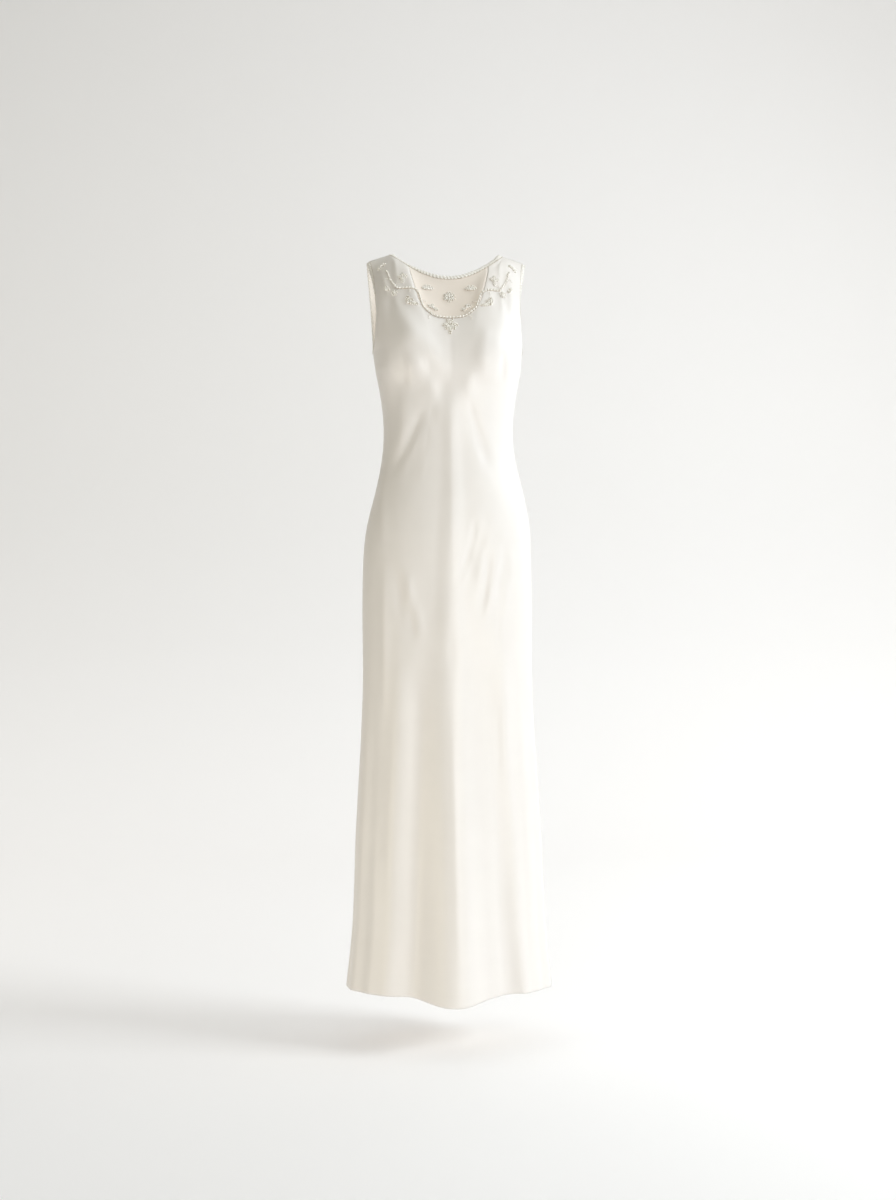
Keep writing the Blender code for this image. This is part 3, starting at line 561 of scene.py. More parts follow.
def mesh_from(name, points, faces, uvs=None):
    mesh = bpy.data.meshes.new(name)
    mesh.from_pydata(points.tolist(), [], [list(face) for face in faces])
    if uvs is not None:
        corners = np.zeros(len(mesh.loops), np.int32)
        mesh.loops.foreach_get("vertex_index", corners)
        mesh.uv_layers.new(name="Lengths").data.foreach_set("uv", uvs[corners].astype(np.float32).ravel())
    mesh.shade_smooth()
    return mesh


def skin_mesh(name, cloth, keep, inset=0.0):
    """The kept cells of a fine surface, some way inside it, with its lengths as a UV map."""
    wide, tall = cloth.points.shape[:2]
    kept = grid_faces(wide, tall, flipped=cloth.half == BACK)[keep]
    used, faces = np.unique(kept, return_inverse=True)
    places = (cloth.points - cloth.outs * inset).reshape(-1, 3)[used]
    lengths = np.stack(np.meshgrid(cloth.across, cloth.down, indexing="ij"), axis=-1).reshape(-1, 2)[used]
    return mesh_from(name, places, faces.reshape(-1, 4).tolist(), lengths)


def thicken(made, thickness):
    """Gives a skin its thickness inwards, with the second material on its wrong side."""
    shell = made.modifiers.new("Cloth thickness", "SOLIDIFY")
    shell.thickness = thickness
    shell.offset = -1.0
    shell.material_offset = 1
    return made


def all_cells(cloth):
    return np.ones((len(cloth.across) - 1, len(cloth.down) - 1), bool)


def yoke_cells():
    """Marks the cells of the front's fine surface that belong to the yoke."""
    cloth, walls = fine_cloth(FRONT), wall_grids()
    inside = ~all_cells(cloth)
    low, high = (cloth.column_marks[i] for i in (walls.yoke_column, -1 - walls.yoke_column))
    inside[low:high, cloth.row_marks[-1 - walls.yoke_rows] :] = True
    return inside


def edge_frames(points, outs, towards, closed=False):
    """The direction off an edge towards a point, and the direction outwards, along a path."""
    before, after = np.roll(points, 1, axis=0), np.roll(points, -1, axis=0)
    if not closed:
        before[0], after[-1] = points[0], points[-1]
    along = unit(after - before)
    side = unit(np.cross(along, outs))
    side *= np.sign(((towards - points) * side).sum(axis=1))[:, None]
    square = unit(np.cross(side, along))
    square *= np.sign((square * outs).sum(axis=1))[:, None]
    return side, square


def evened(path, step, closed=False):
    """A path of (point, out) rows with even steps."""
    if closed:
        path = np.concatenate([path, path[:1]])
    knots = lengths_over(path[:, :3])
    spots = np.linspace(0.0, knots[-1], max(FEWEST, round(knots[-1] / step)) + 1)
    even = np.stack([np.interp(spots, knots, column) for column in path.T], axis=1)
    return even[:-1] if closed else even


def softened(path, closed=False):
    """A path with its small corners rounded off. The ends of an open one stay."""
    for _ in range(EDGE_PASSES):
        near = (np.roll(path, 1, axis=0) + path * 2 + np.roll(path, -1, axis=0)) / 4
        if not closed:
            near[0], near[-1] = path[0], path[-1]
        path = near
    return path


def oval(reach, thick, corners, bulge=0.8):
    """A rounded outline of (off the edge, outwards) pairs about a centre."""
    flat = np.array([(math.cos(t), math.sin(t)) for t in full_turn(corners)])
    return np.copysign(np.abs(flat) ** bulge, flat) * (reach / 2, thick / 2)


def tube_faces(count, corners, closed=False):
    """Faces of a tube through rings of points, which meets itself or has two flat ends."""
    faces = (grid_faces(count + closed, corners, around=True) % (count * corners)).reshape(-1, 4).tolist()
    if not closed:
        last = (count - 1) * corners
        faces += [list(range(corners)), list(range(last, last + corners))[::-1]]
    return faces


def sweep_mesh(name, points, side, out, outline, closed, swell=0.0, pitch=CORD_PITCH):
    """A bar of one outline along a path. A swell winds round it at a pitch, as a twisted roll does."""
    along = lengths_over(points)
    middle = np.mean(outline, axis=0)
    rings = []
    for a, b in outline - middle:
        drift = TWIST_DRIFT * np.sin(along / TWIST_DRIFT_STEP)
        winding = 2 * math.pi * along / pitch + math.atan2(b, a) + drift
        wide = 1.0 + swell * np.cos(winding)[:, None]
        rings.append(points + side * (middle[0] + a * wide) + out * (middle[1] + b * wide))
    grid = np.stack(rings, axis=1)
    sides = np.arange(len(rings))[None] * SIDE_WIDE
    uvs = np.stack(np.broadcast_arrays(along[:, None], sides), axis=-1)
    faces = tube_faces(*grid.shape[:2], closed)
    return turned_out(mesh_from(name, grid.reshape(-1, 3), faces, uvs.reshape(-1, 2)))


def turned_out(mesh):
    """The mesh with its faces pointing outwards."""
    made = bmesh.new()
    made.from_mesh(mesh)
    bmesh.ops.recalc_face_normals(made, faces=made.faces)
    made.to_mesh(mesh)
    made.free()
    return mesh


def joined_mesh(name, parts):
    """Several meshes as one, from (mesh, material) pairs."""
    finishes = list(dict.fromkeys(finish for _, finish in parts))
    made = bmesh.new()
    for mesh, finish in parts:
        first = len(made.faces)
        made.from_mesh(mesh)
        made.faces.ensure_lookup_table()
        for face in made.faces[first:]:
            face.material_index = finishes.index(finish)
            face.smooth = True
        bpy.data.meshes.remove(mesh)
    joined = bpy.data.meshes.new(name)
    for finish in finishes:
        joined.materials.append(finish)
    made.to_mesh(joined)
    made.free()
    return joined


# Node trees


def tree_with(name, kind, inputs, outputs):
    """An empty node tree with named sockets: (name, type, default) and (name, type)."""
    tree = bpy.data.node_groups.new(name, kind)
    for label, socket, default in inputs:
        made = tree.interface.new_socket(label, in_out="INPUT", socket_type="NodeSocket" + socket)
        if default is not None:
            made.default_value = default
    for label, socket in outputs:
        tree.interface.new_socket(label, in_out="OUTPUT", socket_type="NodeSocket" + socket)
    return tree


def feed(tree, made, taken):
    """Gives a node's inputs what they take: a value, a socket or a node's first output."""
    for key, source in taken.items():
        if isinstance(source, bpy.types.Node):
            source = source.outputs[0]
        if isinstance(source, bpy.types.NodeSocket):
            tree.links.new(source, made.inputs[key])
        else:
            made.inputs[key].default_value = source


def node(tree, kind, taken=None, **settings):
    """A new node, with its settings and what its inputs take."""
    made = tree.nodes.new(kind)
    for key, value in settings.items():
        setattr(made, key, value)
    feed(tree, made, taken or {})
    return made


def maths(tree, step, first, second):
    return node(tree, "ShaderNodeMath", {0: first, 1: second}, operation=step)


def noise(tree, vector, scale, detail, roughness=0.5):
    taken = {"Vector": vector, "Scale": scale, "Detail": detail, "Roughness": roughness}
    return node(tree, "ShaderNodeTexNoise", taken)


@functools.cache
def string_tree():
    """Beads or stitches at even steps along paths, each a little different in size."""
    sockets = (
        ("Paths", "Geometry", None),
        ("Spacing", "Float", 0.0022),
        ("Radius", "Float", 0.001),
        ("Stretch", "Float", 1.0),
        ("Variation", "Float", 0.1),
        ("Segments", "Int", 8),
        ("Rings", "Int", 5),
        ("Seed", "Int", 1),
        ("Finish", "Material", None),
    )
    tree = tree_with("Strung along a path", "GeometryNodeTree", sockets, (("Strung", "Geometry"),))
    given = tree.nodes.new("NodeGroupInput").outputs
    curve = node(tree, "GeometryNodeMeshToCurve", {"Mesh": given["Paths"]})
    taken = {"Curve": curve, "Length": given["Spacing"]}
    even = node(tree, "GeometryNodeResampleCurve", taken, mode="LENGTH")
    tangent = node(tree, "GeometryNodeInputTangent")
    turn = node(tree, "FunctionNodeAlignRotationToVector", {"Vector": tangent}, axis="X")
    low, high = (maths(tree, step, 1.0, given["Variation"]) for step in ("SUBTRACT", "ADD"))
    taken = {2: low, 3: high, "Seed": given["Seed"]}
    chance = node(tree, "FunctionNodeRandomValue", taken, data_type="FLOAT").outputs[1]
    longer = maths(tree, "MULTIPLY", chance, given["Stretch"])
    size = node(tree, "ShaderNodeCombineXYZ", {"X": longer, "Y": chance, "Z": chance})
    taken = {key: given[key] for key in ("Radius", "Segments", "Rings")}
    ball = node(tree, "GeometryNodeMeshUVSphere", taken)
    taken = {"Points": even, "Instance": ball, "Rotation": turn, "Scale": size}
    placed = node(tree, "GeometryNodeInstanceOnPoints", taken)
    real = node(tree, "GeometryNodeRealizeInstances", {"Geometry": placed})
    finish = node(tree, "GeometryNodeSetMaterial", {"Geometry": real, "Material": given["Finish"]})
    node(tree, "NodeGroupOutput", {"Strung": finish})
    return tree


def strung(name, paths, finish, **values):
    """The mesh of beads or stitches along several paths of points."""
    ends = np.cumsum([len(path) for path in paths])
    edges = [(i, i + 1) for i in range(ends[-1] - 1) if i + 1 not in ends]
    guide_mesh = bpy.data.meshes.new(name)
    guide_mesh.from_pydata(np.concatenate(paths).tolist(), edges, [])
    guide = new_object(name, guide_mesh)
    strings = guide.modifiers.new("Strung", "NODES")
    strings.node_group = string_tree()
    values["Finish"] = finish
    for item in strings.node_group.interface.items_tree:
        if item.in_out == "INPUT" and item.name in values:
            strings[item.identifier] = values[item.name]
    bpy.context.view_layer.update()
    ready = guide.evaluated_get(bpy.context.evaluated_depsgraph_get())
    mesh = bpy.data.meshes.new_from_object(ready)
    guide.modifiers.remove(strings)
    bpy.data.objects.remove(guide)
    bpy.data.meshes.remove(guide_mesh)
    mesh.shade_smooth()
    return mesh


# Materials


@functools.cache
def weave_group():
    """Long fine floats of thread that lie on the bias, with slow shade changes."""
    sockets = (
        ("Vector", "Vector", None),
        ("Threads per Metre", "Float", 2600.0),
        ("Float Length", "Float", 9.0),
    )
    tree = tree_with("Satin weave", "ShaderNodeTree", sockets, (("Height", "Float"), ("Shade", "Float")))
    given = tree.nodes.new("NodeGroupInput").outputs
    vector, across = given["Vector"], given["Threads per Metre"]
    bias = {"Vector": vector, "Angle": math.radians(45)}
    turned = node(tree, "ShaderNodeVectorRotate", bias, rotation_type="Z_AXIS")
    along = maths(tree, "DIVIDE", across, given["Float Length"])
    stretch = node(tree, "ShaderNodeCombineXYZ", {"X": along, "Y": across, "Z": across})
    spread = node(tree, "ShaderNodeVectorMath", {0: turned, 1: stretch}, operation="MULTIPLY")
    threads = noise(tree, spread, scale=1.0, detail=2.0, roughness=0.6)
    cloudy = noise(tree, vector, scale=18.0, detail=3.0, roughness=0.55)
    node(tree, "NodeGroupOutput", {"Height": threads, "Shade": cloudy})
    return tree


def new_material(name):
    made = bpy.data.materials.new(name)
    made.use_nodes = True
    return made, made.node_tree, made.node_tree.nodes["Principled BSDF"]


def tint(tree, shader, share, dark, light):
    """Gives a shader a colour between two, by a share."""
    taken = {"Factor": share, 6: (*dark, 1.0), 7: (*light, 1.0)}
    blend = node(tree, "ShaderNodeMix", taken, data_type="RGBA")
    feed(tree, shader, {"Base Color": blend.outputs[2]})


def roughen(tree, shader, height, strength):
    """Gives a shader a fine relief."""
    bump = node(tree, "ShaderNodeBump", {"Height": height, "Strength": strength, "Distance": BUMP_DEPTH})
    feed(tree, shader, {"Normal": bump})


@functools.cache
def woven(kind):
    """Woven cloth: fine threads in relief, and a colour and a gloss that drift a little."""
    weave, colour = WEAVES[kind], getattr(colours(), kind)
    made, tree, shader = new_material(weave.name)
    taken = {"Vector": node(tree, "ShaderNodeUVMap", uv_map="Lengths"), "Threads per Metre": weave.threads}
    cloth = node(tree, "ShaderNodeGroup", taken, node_tree=weave_group()).outputs
    dark, light = [c * DARKER for c in colour], [min(1.0, c * LIGHTER) for c in colour]
    tint(tree, shader, cloth["Shade"], dark, light)
    low, high = weave.roughness - GLOSS_DRIFT, weave.roughness + GLOSS_DRIFT
    gloss = node(tree, "ShaderNodeMapRange", {"Value": cloth["Shade"], "To Min": low, "To Max": high})
    roughen(tree, shader, cloth["Height"], weave.relief)
    feed(tree, shader, {"Roughness": gloss, "Specular IOR Level": 0.5, "Alpha": weave.alpha})
    feed(tree, shader, {"Sheen Weight": weave.sheen, "Sheen Roughness": 0.4})
    return made


@functools.cache
def grained(kind):
    """A fine grain over the whole piece, in the colour and, where it has some relief, in the surface."""
    grain, colour = GRAINS[kind], getattr(colours(), kind)
    made, tree, shader = new_material(grain.name)
    place = node(tree, "ShaderNodeTexCoord").outputs["Object"]
    share = noise(tree, place, grain.scale, grain.detail)
    tint(tree, shader, share, [c * grain.shade for c in colour], colour)
    if grain.relief:
        roughen(tree, shader, share, grain.relief)
    feed(tree, shader, grain.settings)
    return made


@functools.cache
def satin_thread():
    """Sewing thread that matches the satin."""
    made, tree, shader = new_material("sewing thread")
    feed(tree, shader, {"Base Color": (*colours().binding, 1.0), "Roughness": 0.5, "Sheen Weight": 0.2})
    return made


# Bindings


def shoulder_marks(cloth, grid):
    """The fine columns at the two neck points, the wearer's right one first."""
    flat = [i for i in range(len(grid)) if grid[i, -1, 1] == 0.0]
    middle = len(grid) // 2
    right = max(i for i in flat if i < middle)
    left = min(i for i in flat if i > middle)
    return cloth.column_marks[right], cloth.column_marks[left]


def edge_rows(cloth, columns, rows=-1):
    """(point, out) rows along the top edge of a fine surface, or along a side."""
    return np.concatenate([cloth.points[columns, rows], cloth.outs[columns, rows]], axis=1)


def neck_edge():
    """(point, out) rows round the neck, from the slit's left side to its right side."""
    front, back = fine_cloth(FRONT), fine_cloth(BACK)
    right, left = shoulder_marks(front, wall_grids().front)
    back_right, back_left = shoulder_marks(back, wall_grids().back)
    middle = len(back.points) // 2
    stretches = [
        edge_rows(back, np.arange(middle, back_left)),
        edge_rows(front, np.arange(left, right - 1, -1)),
        edge_rows(back, np.arange(back_right + 1, middle + 1)),
    ]
    path = np.concatenate(stretches)
    path[0, 0] += SLIT_GAP / 2
    path[-1, 0] -= SLIT_GAP / 2
    return softened(evened(path, EDGE_STEP))


def arm_edge(side):
    """(point, out) rows round one armhole, up the front and down the back."""
    front, back = fine_cloth(FRONT), fine_cloth(BACK)
    end = -1 if side > 0 else 0
    foot = front.row_marks[wall_grids().underarm]
    up, down = edge_rows(front, end, slice(foot, -1)), edge_rows(back, end, slice(None, foot, -1))
    path = evened(np.concatenate([up, down]), EDGE_STEP, closed=True)
    return softened(path, closed=True)


def make_binding(name, node_name, path, towards, width, closed):
    """A strip rolled over a cut edge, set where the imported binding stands."""
    path = evened(path, ROLL_STEP, closed)
    points, outs = path[:, :3], unit(path[:, 3:])
    side, out = edge_frames(points, outs, towards, closed)
    reach = width + ROLL_OVER
    outline = oval(reach, ROLL_THICK, corners=14) + (reach / 2 - ROLL_OVER, -ROLL_SINK)
    mesh = sweep_mesh(name, points, side, out, outline, closed, swell=ROLL_SWELL, pitch=ROLL_PITCH)
    add_piece(name, mesh, [woven("binding")], [node_name])


# Beadwork


@functools.cache
def surface_of(half):
    """A fine cloth as a surface for finding the nearest place on it."""
    points = fine_cloth(half).points
    faces = grid_faces(*points.shape[:2], flipped=half == BACK).reshape(-1, 4).tolist()
    return BVHTree.FromPolygons([Vector(p) for p in points.reshape(-1, 3)], faces)


def nearest(half, places):
    """The nearest places on the front or the back, and the directions out of it there."""
    found = [surface_of(half).find_nearest(Vector(p))[:2] for p in places]
    return (np.array([list(v) for v in part]) for part in zip(*found))


def on_front(places, lift):
    """Places moved onto the front, and some way out of it."""
    found, outs = nearest(FRONT, places)
    return found + outs * lift


def sweep_rings(node_name):
    """The centre of each ring of a swept node, from the cap nearest the gown's middle."""
    made = welded(node_name)
    caps = [g for g in regions(made, math.radians(30)) if len(g) <= CAP_FACES]
    caps = sorted(caps, key=len, reverse=True)[:2]
    start = min(caps, key=lambda g: abs(g[0].calc_center_median().x))
    ring = {v for face in start for v in face.verts}
    seen = set(ring)
    centres = []
    while ring:
        centres.append(sum((v.co for v in ring), Vector()) / len(ring))
        ring = {e.other_vert(v) for v in ring for e in v.link_edges} - seen
        seen |= ring
    made.free()
    return np.array(centres)


def smooth_path(points, step):
    """A finer path through the points, with no corners."""
    knots = lengths_over(points)
    spots = np.linspace(0.0, knots[-1], max(FEWEST, round(knots[-1] / step)))
    return spline(knots, spots) @ points


def add_beading(node_name, parts):
    name = "beaded_" + node_name
    add_piece(name, joined_mesh(name, parts), [], [node_name])


def make_vine(node_name):
    """A string of pearls along the stem, with seed beads between them and, beneath them, a stitched line of
    dark thread that is partly a painted shadow under the pearls.
    """
    size = sizes()
    places, outs = nearest(FRONT, smooth_path(sweep_rings(node_name), VINE_STEP))
    along = np.gradient(places, axis=0)
    side = unit(np.cross(along, outs))
    side *= np.sign(-side[:, 2:])
    stem = places - side * STEM_ASIDE
    step = size.pearl * STEM_STEP
    curls = []
    for share, hand, reach in TENDRILS:
        i = int(share * len(places))
        turns = np.linspace(0.0, TENDRIL_TURN, TENDRIL_PLACES)[:, None]
        curl = side[i] * hand * (1 - np.cos(turns)) + unit(along[i]) * np.sin(turns)
        curls.append(on_front(places[i] + curl * reach / 2, size.bead * BEAD_LIFT))
    # Paths, spacing, radius, variation and seed
    rows = (
        ([stem + outs * size.pearl * BEAD_LIFT], step, size.pearl, 0.14, 3),
        ([evened(stem + outs * size.bead, step / 2)[1:]], step, size.bead * 0.6, 0.10, 4),
        (curls, size.bead * 2.4, size.bead * 0.8, 0.16, 6),
    )
    beads = []
    for paths, spacing, radius, variation, seed in rows:
        sewn = {"Spacing": spacing, "Radius": radius, "Variation": variation, "Seed": seed}
        beads.append((strung(node_name, paths, grained("pearl"), **sewn), grained("pearl")))
    # Beneath the stem: a dark thread line, partly painted shadow of the pearls
    places = places + side * (size.cord_and_shadow + STEM_ASIDE / 2)
    side, out = edge_frames(places, outs, places + side)
    outline = oval(size.cord_and_shadow * 2, size.cord_and_shadow * 1.6, corners=8, bulge=1.0)
    places = places + outs * size.cord_and_shadow * 0.6
    cord_and_shadow = sweep_mesh(node_name, places, side, out, outline, closed=False, swell=CORD_SWELL)
    add_beading(node_name, [(cord_and_shadow, grained("thread")), *beads])


def motif_petals(node_name):
    """The centre and outwards direction of a motif, and its petals as (direction, length, width)."""
    made = welded(node_name)
    hubs = sorted((v for v in made.verts if len(v.link_edges) >= SPOKES), key=lambda v: v.co.y)
    crown, foot = hubs[0], hubs[-1]
    out = (crown.co - foot.co).normalized()
    sideways = UP.cross(out).normalized()
    upwards = out.cross(sideways)
    spokes = []
    for edge in foot.link_edges:
        arm = edge.other_vert(foot).co - foot.co
        spokes.append((math.atan2(arm.dot(upwards), arm.dot(sideways)), arm.length))
    spokes.sort()
    petals = []
    step = 2 * math.pi / len(spokes)
    for i, (turn, reach) in enumerate(spokes):
        before, after = spokes[i - 1][1], spokes[(i + 1) % len(spokes)][1]
        if reach > before and reach >= after and reach > SMALLEST_PETAL:
            beside = min(before, after, reach * PETAL_BLUNTEST)
            c, s = math.cos(step), math.sin(step)
            width = reach * s * math.sqrt(beside / (c * (reach - beside * c)))
            direction = sideways * math.cos(turn) + upwards * math.sin(turn)
            petals.append((direction, reach, min(width, reach * PETAL_WIDEST)))
    centre = foot.co.copy()
    made.free()
    return centre, out, petals


def petal_rows(centre, out, petal, share, turns):
    """Places on an oval inside a petal, at a share of its size."""
    direction, length, width = petal
    middle = centre + direction * length * PETAL_MIDDLE
    long, wide = direction * (length * PETAL_HALF * share), out.cross(direction) * (width / 2 * share)
    return [middle + long * math.cos(t) + wide * math.sin(t) for t in turns]


def petal_mesh(name, centre, out, petals, levels):
    """Low padded ovals, closed underneath, as satin stitch lies on cloth."""
    turns = full_turn(PETAL_STEPS)
    points, faces = [], []
    for petal in petals:
        first = len(points)
        faces += [[first + corner for corner in face] for face in tube_faces(len(levels), PETAL_STEPS)]
        for share, lift in levels:
            points.extend(on_front(petal_rows(centre, out, petal, share, turns), lift))
    return turned_out(mesh_from(name, np.array(points), faces))


def pearl_mesh(name, place, radius):
    """A round pearl."""
    made = bmesh.new()
    bmesh.ops.create_icosphere(made, subdivisions=3, radius=radius)
    bmesh.ops.translate(made, verts=made.verts, vec=place)
    mesh = bpy.data.meshes.new(name)
    made.to_mesh(mesh)
    made.free()
    return mesh


def make_motif(node_name):
    """A flower or leaf: padded pearly petals inside stitched outlines of dark thread, which are partly
    painted shade round the raised petals, with pearls on them.
    """
    size = sizes()
    shape = motif_petals(node_name)
    centre, out, petals = shape
    turns = np.linspace(-RIM_TURN, RIM_TURN, RIM_PLACES) * math.pi
    rims = [petal_rows(centre, out, petal, PETAL_RIM, turns) for petal in petals]
    edges = [on_front(rim, size.bead * BEAD_LIFT) for rim in rims]
    sewn = {"Spacing": size.bead * 2.5, "Radius": size.bead, "Variation": 0.12, "Seed": 5}
    hub = size.pearl * HUB_SIZE
    parts = [
        # The dark rim round each petal is partly painted shade
        (petal_mesh(node_name, *shape, OUTLINE_AND_SHADE_LEVELS), grained("thread")),
        (petal_mesh(node_name, *shape, PETAL_LEVELS), grained("silk")),
        (strung(node_name, edges, grained("pearl"), **sewn), grained("pearl")),
        (pearl_mesh(node_name, on_front([centre], hub)[0], hub), grained("pearl")),
    ]
    add_beading(node_name, parts)


# Button, loop and stitches


def turned_mesh(name, profile, steps, place, axes):
    """A profile of (radius, height) pairs turned round an axis through a place."""
    side, up, out = axes
    points = [place + out * profile[0][1]]
    uvs = [(0.0, 0.0)]
    for radius, height in profile[1:-1]:
        flat = [(radius * math.cos(t), radius * math.sin(t)) for t in full_turn(steps)]
        points += [place + side * a + up * b + out * height for a, b in flat]
        uvs += flat
    points.append(place + out * profile[-1][1])
    uvs.append((0.0, 0.0))
    faces = []
    top = len(points) - 1 - steps
    for i in range(steps):
        j = (i + 1) % steps
        faces.append([0, 1 + i, 1 + j])
        for a in range(1, top, steps):
            faces.append([a + i, a + steps + i, a + steps + j, a + j])
        faces.append([top + i, top + steps, top + j])
    return turned_out(mesh_from(name, np.array([list(p) for p in points]), faces, np.array(uvs)))


def make_button():
    """The covered button at the nape: a domed cap over a narrow neck of gathered cloth."""
    low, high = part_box("back_button")
    place, out = surface_of(BACK).find_nearest((low + high) / 2)[:2]
    side = out.cross(UP).normalized()
    radius = (high.z - low.z) / 2 / math.hypot(1.0, NAPE_SLOPE)
    dome = [(math.cos(t), 0.56 + 0.44 * math.sin(t)) for t in np.linspace(-0.5, 1.45, 12)]
    profile = [(radius * wide, BUTTON_TALL * tall) for wide, tall in (*BUTTON_NECK, *dome, (0.0, 1.0))]
    mesh = turned_mesh("nape_button", profile, BUTTON_STEPS, place, (side, side.cross(out), out))
    add_piece("nape_button", mesh, [woven("binding")], ["back_button"])


def make_loop():
    """The corded loop that holds the button."""
    path = smooth_path(sweep_rings("back_loop"), LOOP_STEP)
    _, outs = nearest(BACK, path)
    low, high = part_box("back_button")
    side, out = edge_frames(path, outs, np.array((low + high) / 2))
    outline = oval(LOOP_THICK, LOOP_THICK, corners=12, bulge=1.0)
    mesh = sweep_mesh("nape_loop", path, side, out, outline, closed=False, swell=LOOP_SWELL)
    add_piece("nape_loop", mesh, [woven("binding")], ["back_loop"])


def stitch_path(path, towards, off, closed=False):
    """A path moved off an edge over the cloth, just proud of it."""
    points, outs = path[:, :3], unit(path[:, 3:])
    side, out = edge_frames(points, outs, towards, closed)
    moved = points - side * off + out * sizes().thread
    return np.concatenate([moved, moved[:1]]) if closed else moved


def hem_stitch_paths():
    """Paths on the right side, where the turned-up hem's top edge is caught down."""
    paths = []
    for cloth in (fine_cloth(FRONT), fine_cloth(BACK)):
        row = np.searchsorted(cloth.down, sizes().hem)
        paths.append(cloth.points[2:-2, row] + cloth.outs[2:-2, row] * sizes().thread * 0.3)
    return paths


def slit_tack_path():
    """A short path across the foot of the nape slit."""
    across = np.linspace(-TACK_WIDTH / 2, TACK_WIDTH / 2, TACK_PLACES)
    places, outs = nearest(BACK, [(x, TACK_BEHIND, SLIT_FOOT) for x in across])
    return places + outs * sizes().thread


def make_stitches():
    """Rows of small stitches beneath the bindings, hem stitches and a tack at the slit's foot. The thick dark
    row under the neck roll is partly a painted shadow line.
    """
    fine, long = sizes().thread, sizes().stitch
    neck = [stitch_path(neck_edge(), NECK_MIDDLE, NECK_STITCH_OFF)]
    arms = [stitch_path(arm_edge(s), ARM_MIDDLE * (s, 1, 1), ARM_STITCH_OFF, closed=True) for s in (1, -1)]
    # Name, paths, finish, spacing, radius and length
    rows = (
        # Thick dark stitches under the neck roll: partly a painted shadow line
        ("neck_stitches", neck, grained("thread"), long * 1.2, fine * 1.6, long),
        ("armhole_stitches", arms, grained("thread"), long * 1.4, fine, long),
        ("hem_stitches", hem_stitch_paths(), satin_thread(), HEM_STITCH_STEP, fine * 0.6, long / 2),
        ("slit_tack", [slit_tack_path()], satin_thread(), fine * 1.6, fine, fine * 4),
    )
    shape = {"Variation": 0.08, "Segments": 6, "Rings": 4, "Seed": 8}
    for name, paths, finish, spacing, radius, length in rows:
        stretch = length / 2 / radius
        stitches = strung(name, paths, finish, Spacing=spacing, Radius=radius, Stretch=stretch, **shape)
        add_piece(name, stitches, [])


# Cloth pieces


def make_panel(name, node_name, cloth, keep, kind, wrong_side, thickness):
    """A panel of cloth over its packed wall, with the cut of what shows."""
    finishes = [woven(kind), woven(wrong_side)]
    made = add_piece(name, skin_mesh(name, cloth, keep), finishes, [node_name])
    thicken(made, thickness)


def back_half(side):
    """One half of the back's fine surface, drawn aside a little along the slit."""
    cloth = fine_cloth(BACK)
    middle = len(cloth.points) // 2
    points = cloth.points.copy()
    around = lengths_over(points)
    shift = SLIT_GAP / 2 * smooth((points[..., 2] - SLIT_FOOT) / SLIT_CLOSING)
    points[..., 0] += side * shift * np.exp(-np.abs(around - around[middle]) / SLIT_PULL)
    keep = all_cells(cloth)
    keep[slice(middle) if side > 0 else slice(middle, None)] = False
    return cloth._replace(points=points), keep


def make_hem_bands():
    """The turned-up hem inside the skirt, one band for each panel."""
    for name, cloth in (("hem_band_front", fine_cloth(FRONT)), ("hem_band_back", fine_cloth(BACK))):
        keep = all_cells(cloth)
        keep[:, np.searchsorted(cloth.down, sizes().hem) :] = False
        skin = skin_mesh(name, cloth, keep, inset=sizes().cloth * HEM_INSET)
        thicken(add_piece(name, skin, [woven("satin"), woven("satin")]), sizes().cloth)


# Stage


def room_light():
    """A dim even light from all round, behind which the room looks as pale as its wall."""
    world = bpy.data.worlds.new("room light")
    world.use_nodes = True
    tree = world.node_tree
    lit = tree.nodes["Background"]
    feed(tree, lit, {"Color": (*ROOM_COLOUR, 1.0), "Strength": ROOM_STRENGTH})
    seen = node(tree, "ShaderNodeBackground", {"Color": (*WALL_COLOUR, 1.0), "Strength": 1.0})
    rays = node(tree, "ShaderNodeLightPath").outputs["Is Camera Ray"]
    share = node(tree, "ShaderNodeMixShader", {0: rays, 1: lit, 2: seen})
    feed(tree, tree.nodes["World Output"], {"Surface": share})
    return world


def add_lamp(lamp, shadow, lit):
    """One lamp, with or without shadows, which may light only some of the objects."""
    light = bpy.data.lights.new(lamp.name, lamp.kind)
    if lamp.kind == "AREA":
        light.shape = "RECTANGLE"
        light.size, light.size_y = lamp.size
    else:
        light.angle = lamp.size[0]
    light.energy = lamp.power
    light.color = lamp.colour
    light.use_shadow = shadow
    made = new_object(lamp.name, light)
    made.location = lamp.place
    away = Vector(lamp.place) - Vector(lamp.aim)
    made.rotation_euler = away.to_track_quat("Z", "Y").to_euler()
    made.light_linking.receiver_collection = lit


def cove_mesh():
    """A floor that curves up into a wall."""
    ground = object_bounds()[0].z - sizes().floor_drop
    profile = [(-COVE_REACH, ground), (COVE_START, ground)]
    for i in range(1, COVE_STEPS + 1):
        turn = math.pi / 2 * i / COVE_STEPS
        rise = ground + COVE_RADIUS * (1 - math.cos(turn))
        profile.append((COVE_START + COVE_RADIUS * math.sin(turn), rise))
    profile.append((COVE_START + COVE_RADIUS, ground + COVE_REACH))
    points = np.array([[x, y, z] for x in (-COVE_REACH, COVE_REACH) for y, z in profile])
    return mesh_from("cove", points, grid_faces(2, len(profile)).reshape(-1, 4).tolist())


def add_camera():
    """The camera in front of the gown, a little to the wearer's right."""
    lens = bpy.data.cameras.new("camera")
    lens.lens = 50.0
    lens.sensor_width = 36.0
    camera = new_object("camera", lens)
    turn = math.radians(CAMERA_TURN)
    back = Vector((math.sin(turn), -math.cos(turn), 0.0))
    camera.location = CAMERA_AIM + back * CAMERA_DISTANCE
    camera.rotation_euler = (-back).to_track_quat("-Z", "Y").to_euler()
    bpy.context.scene.camera = camera


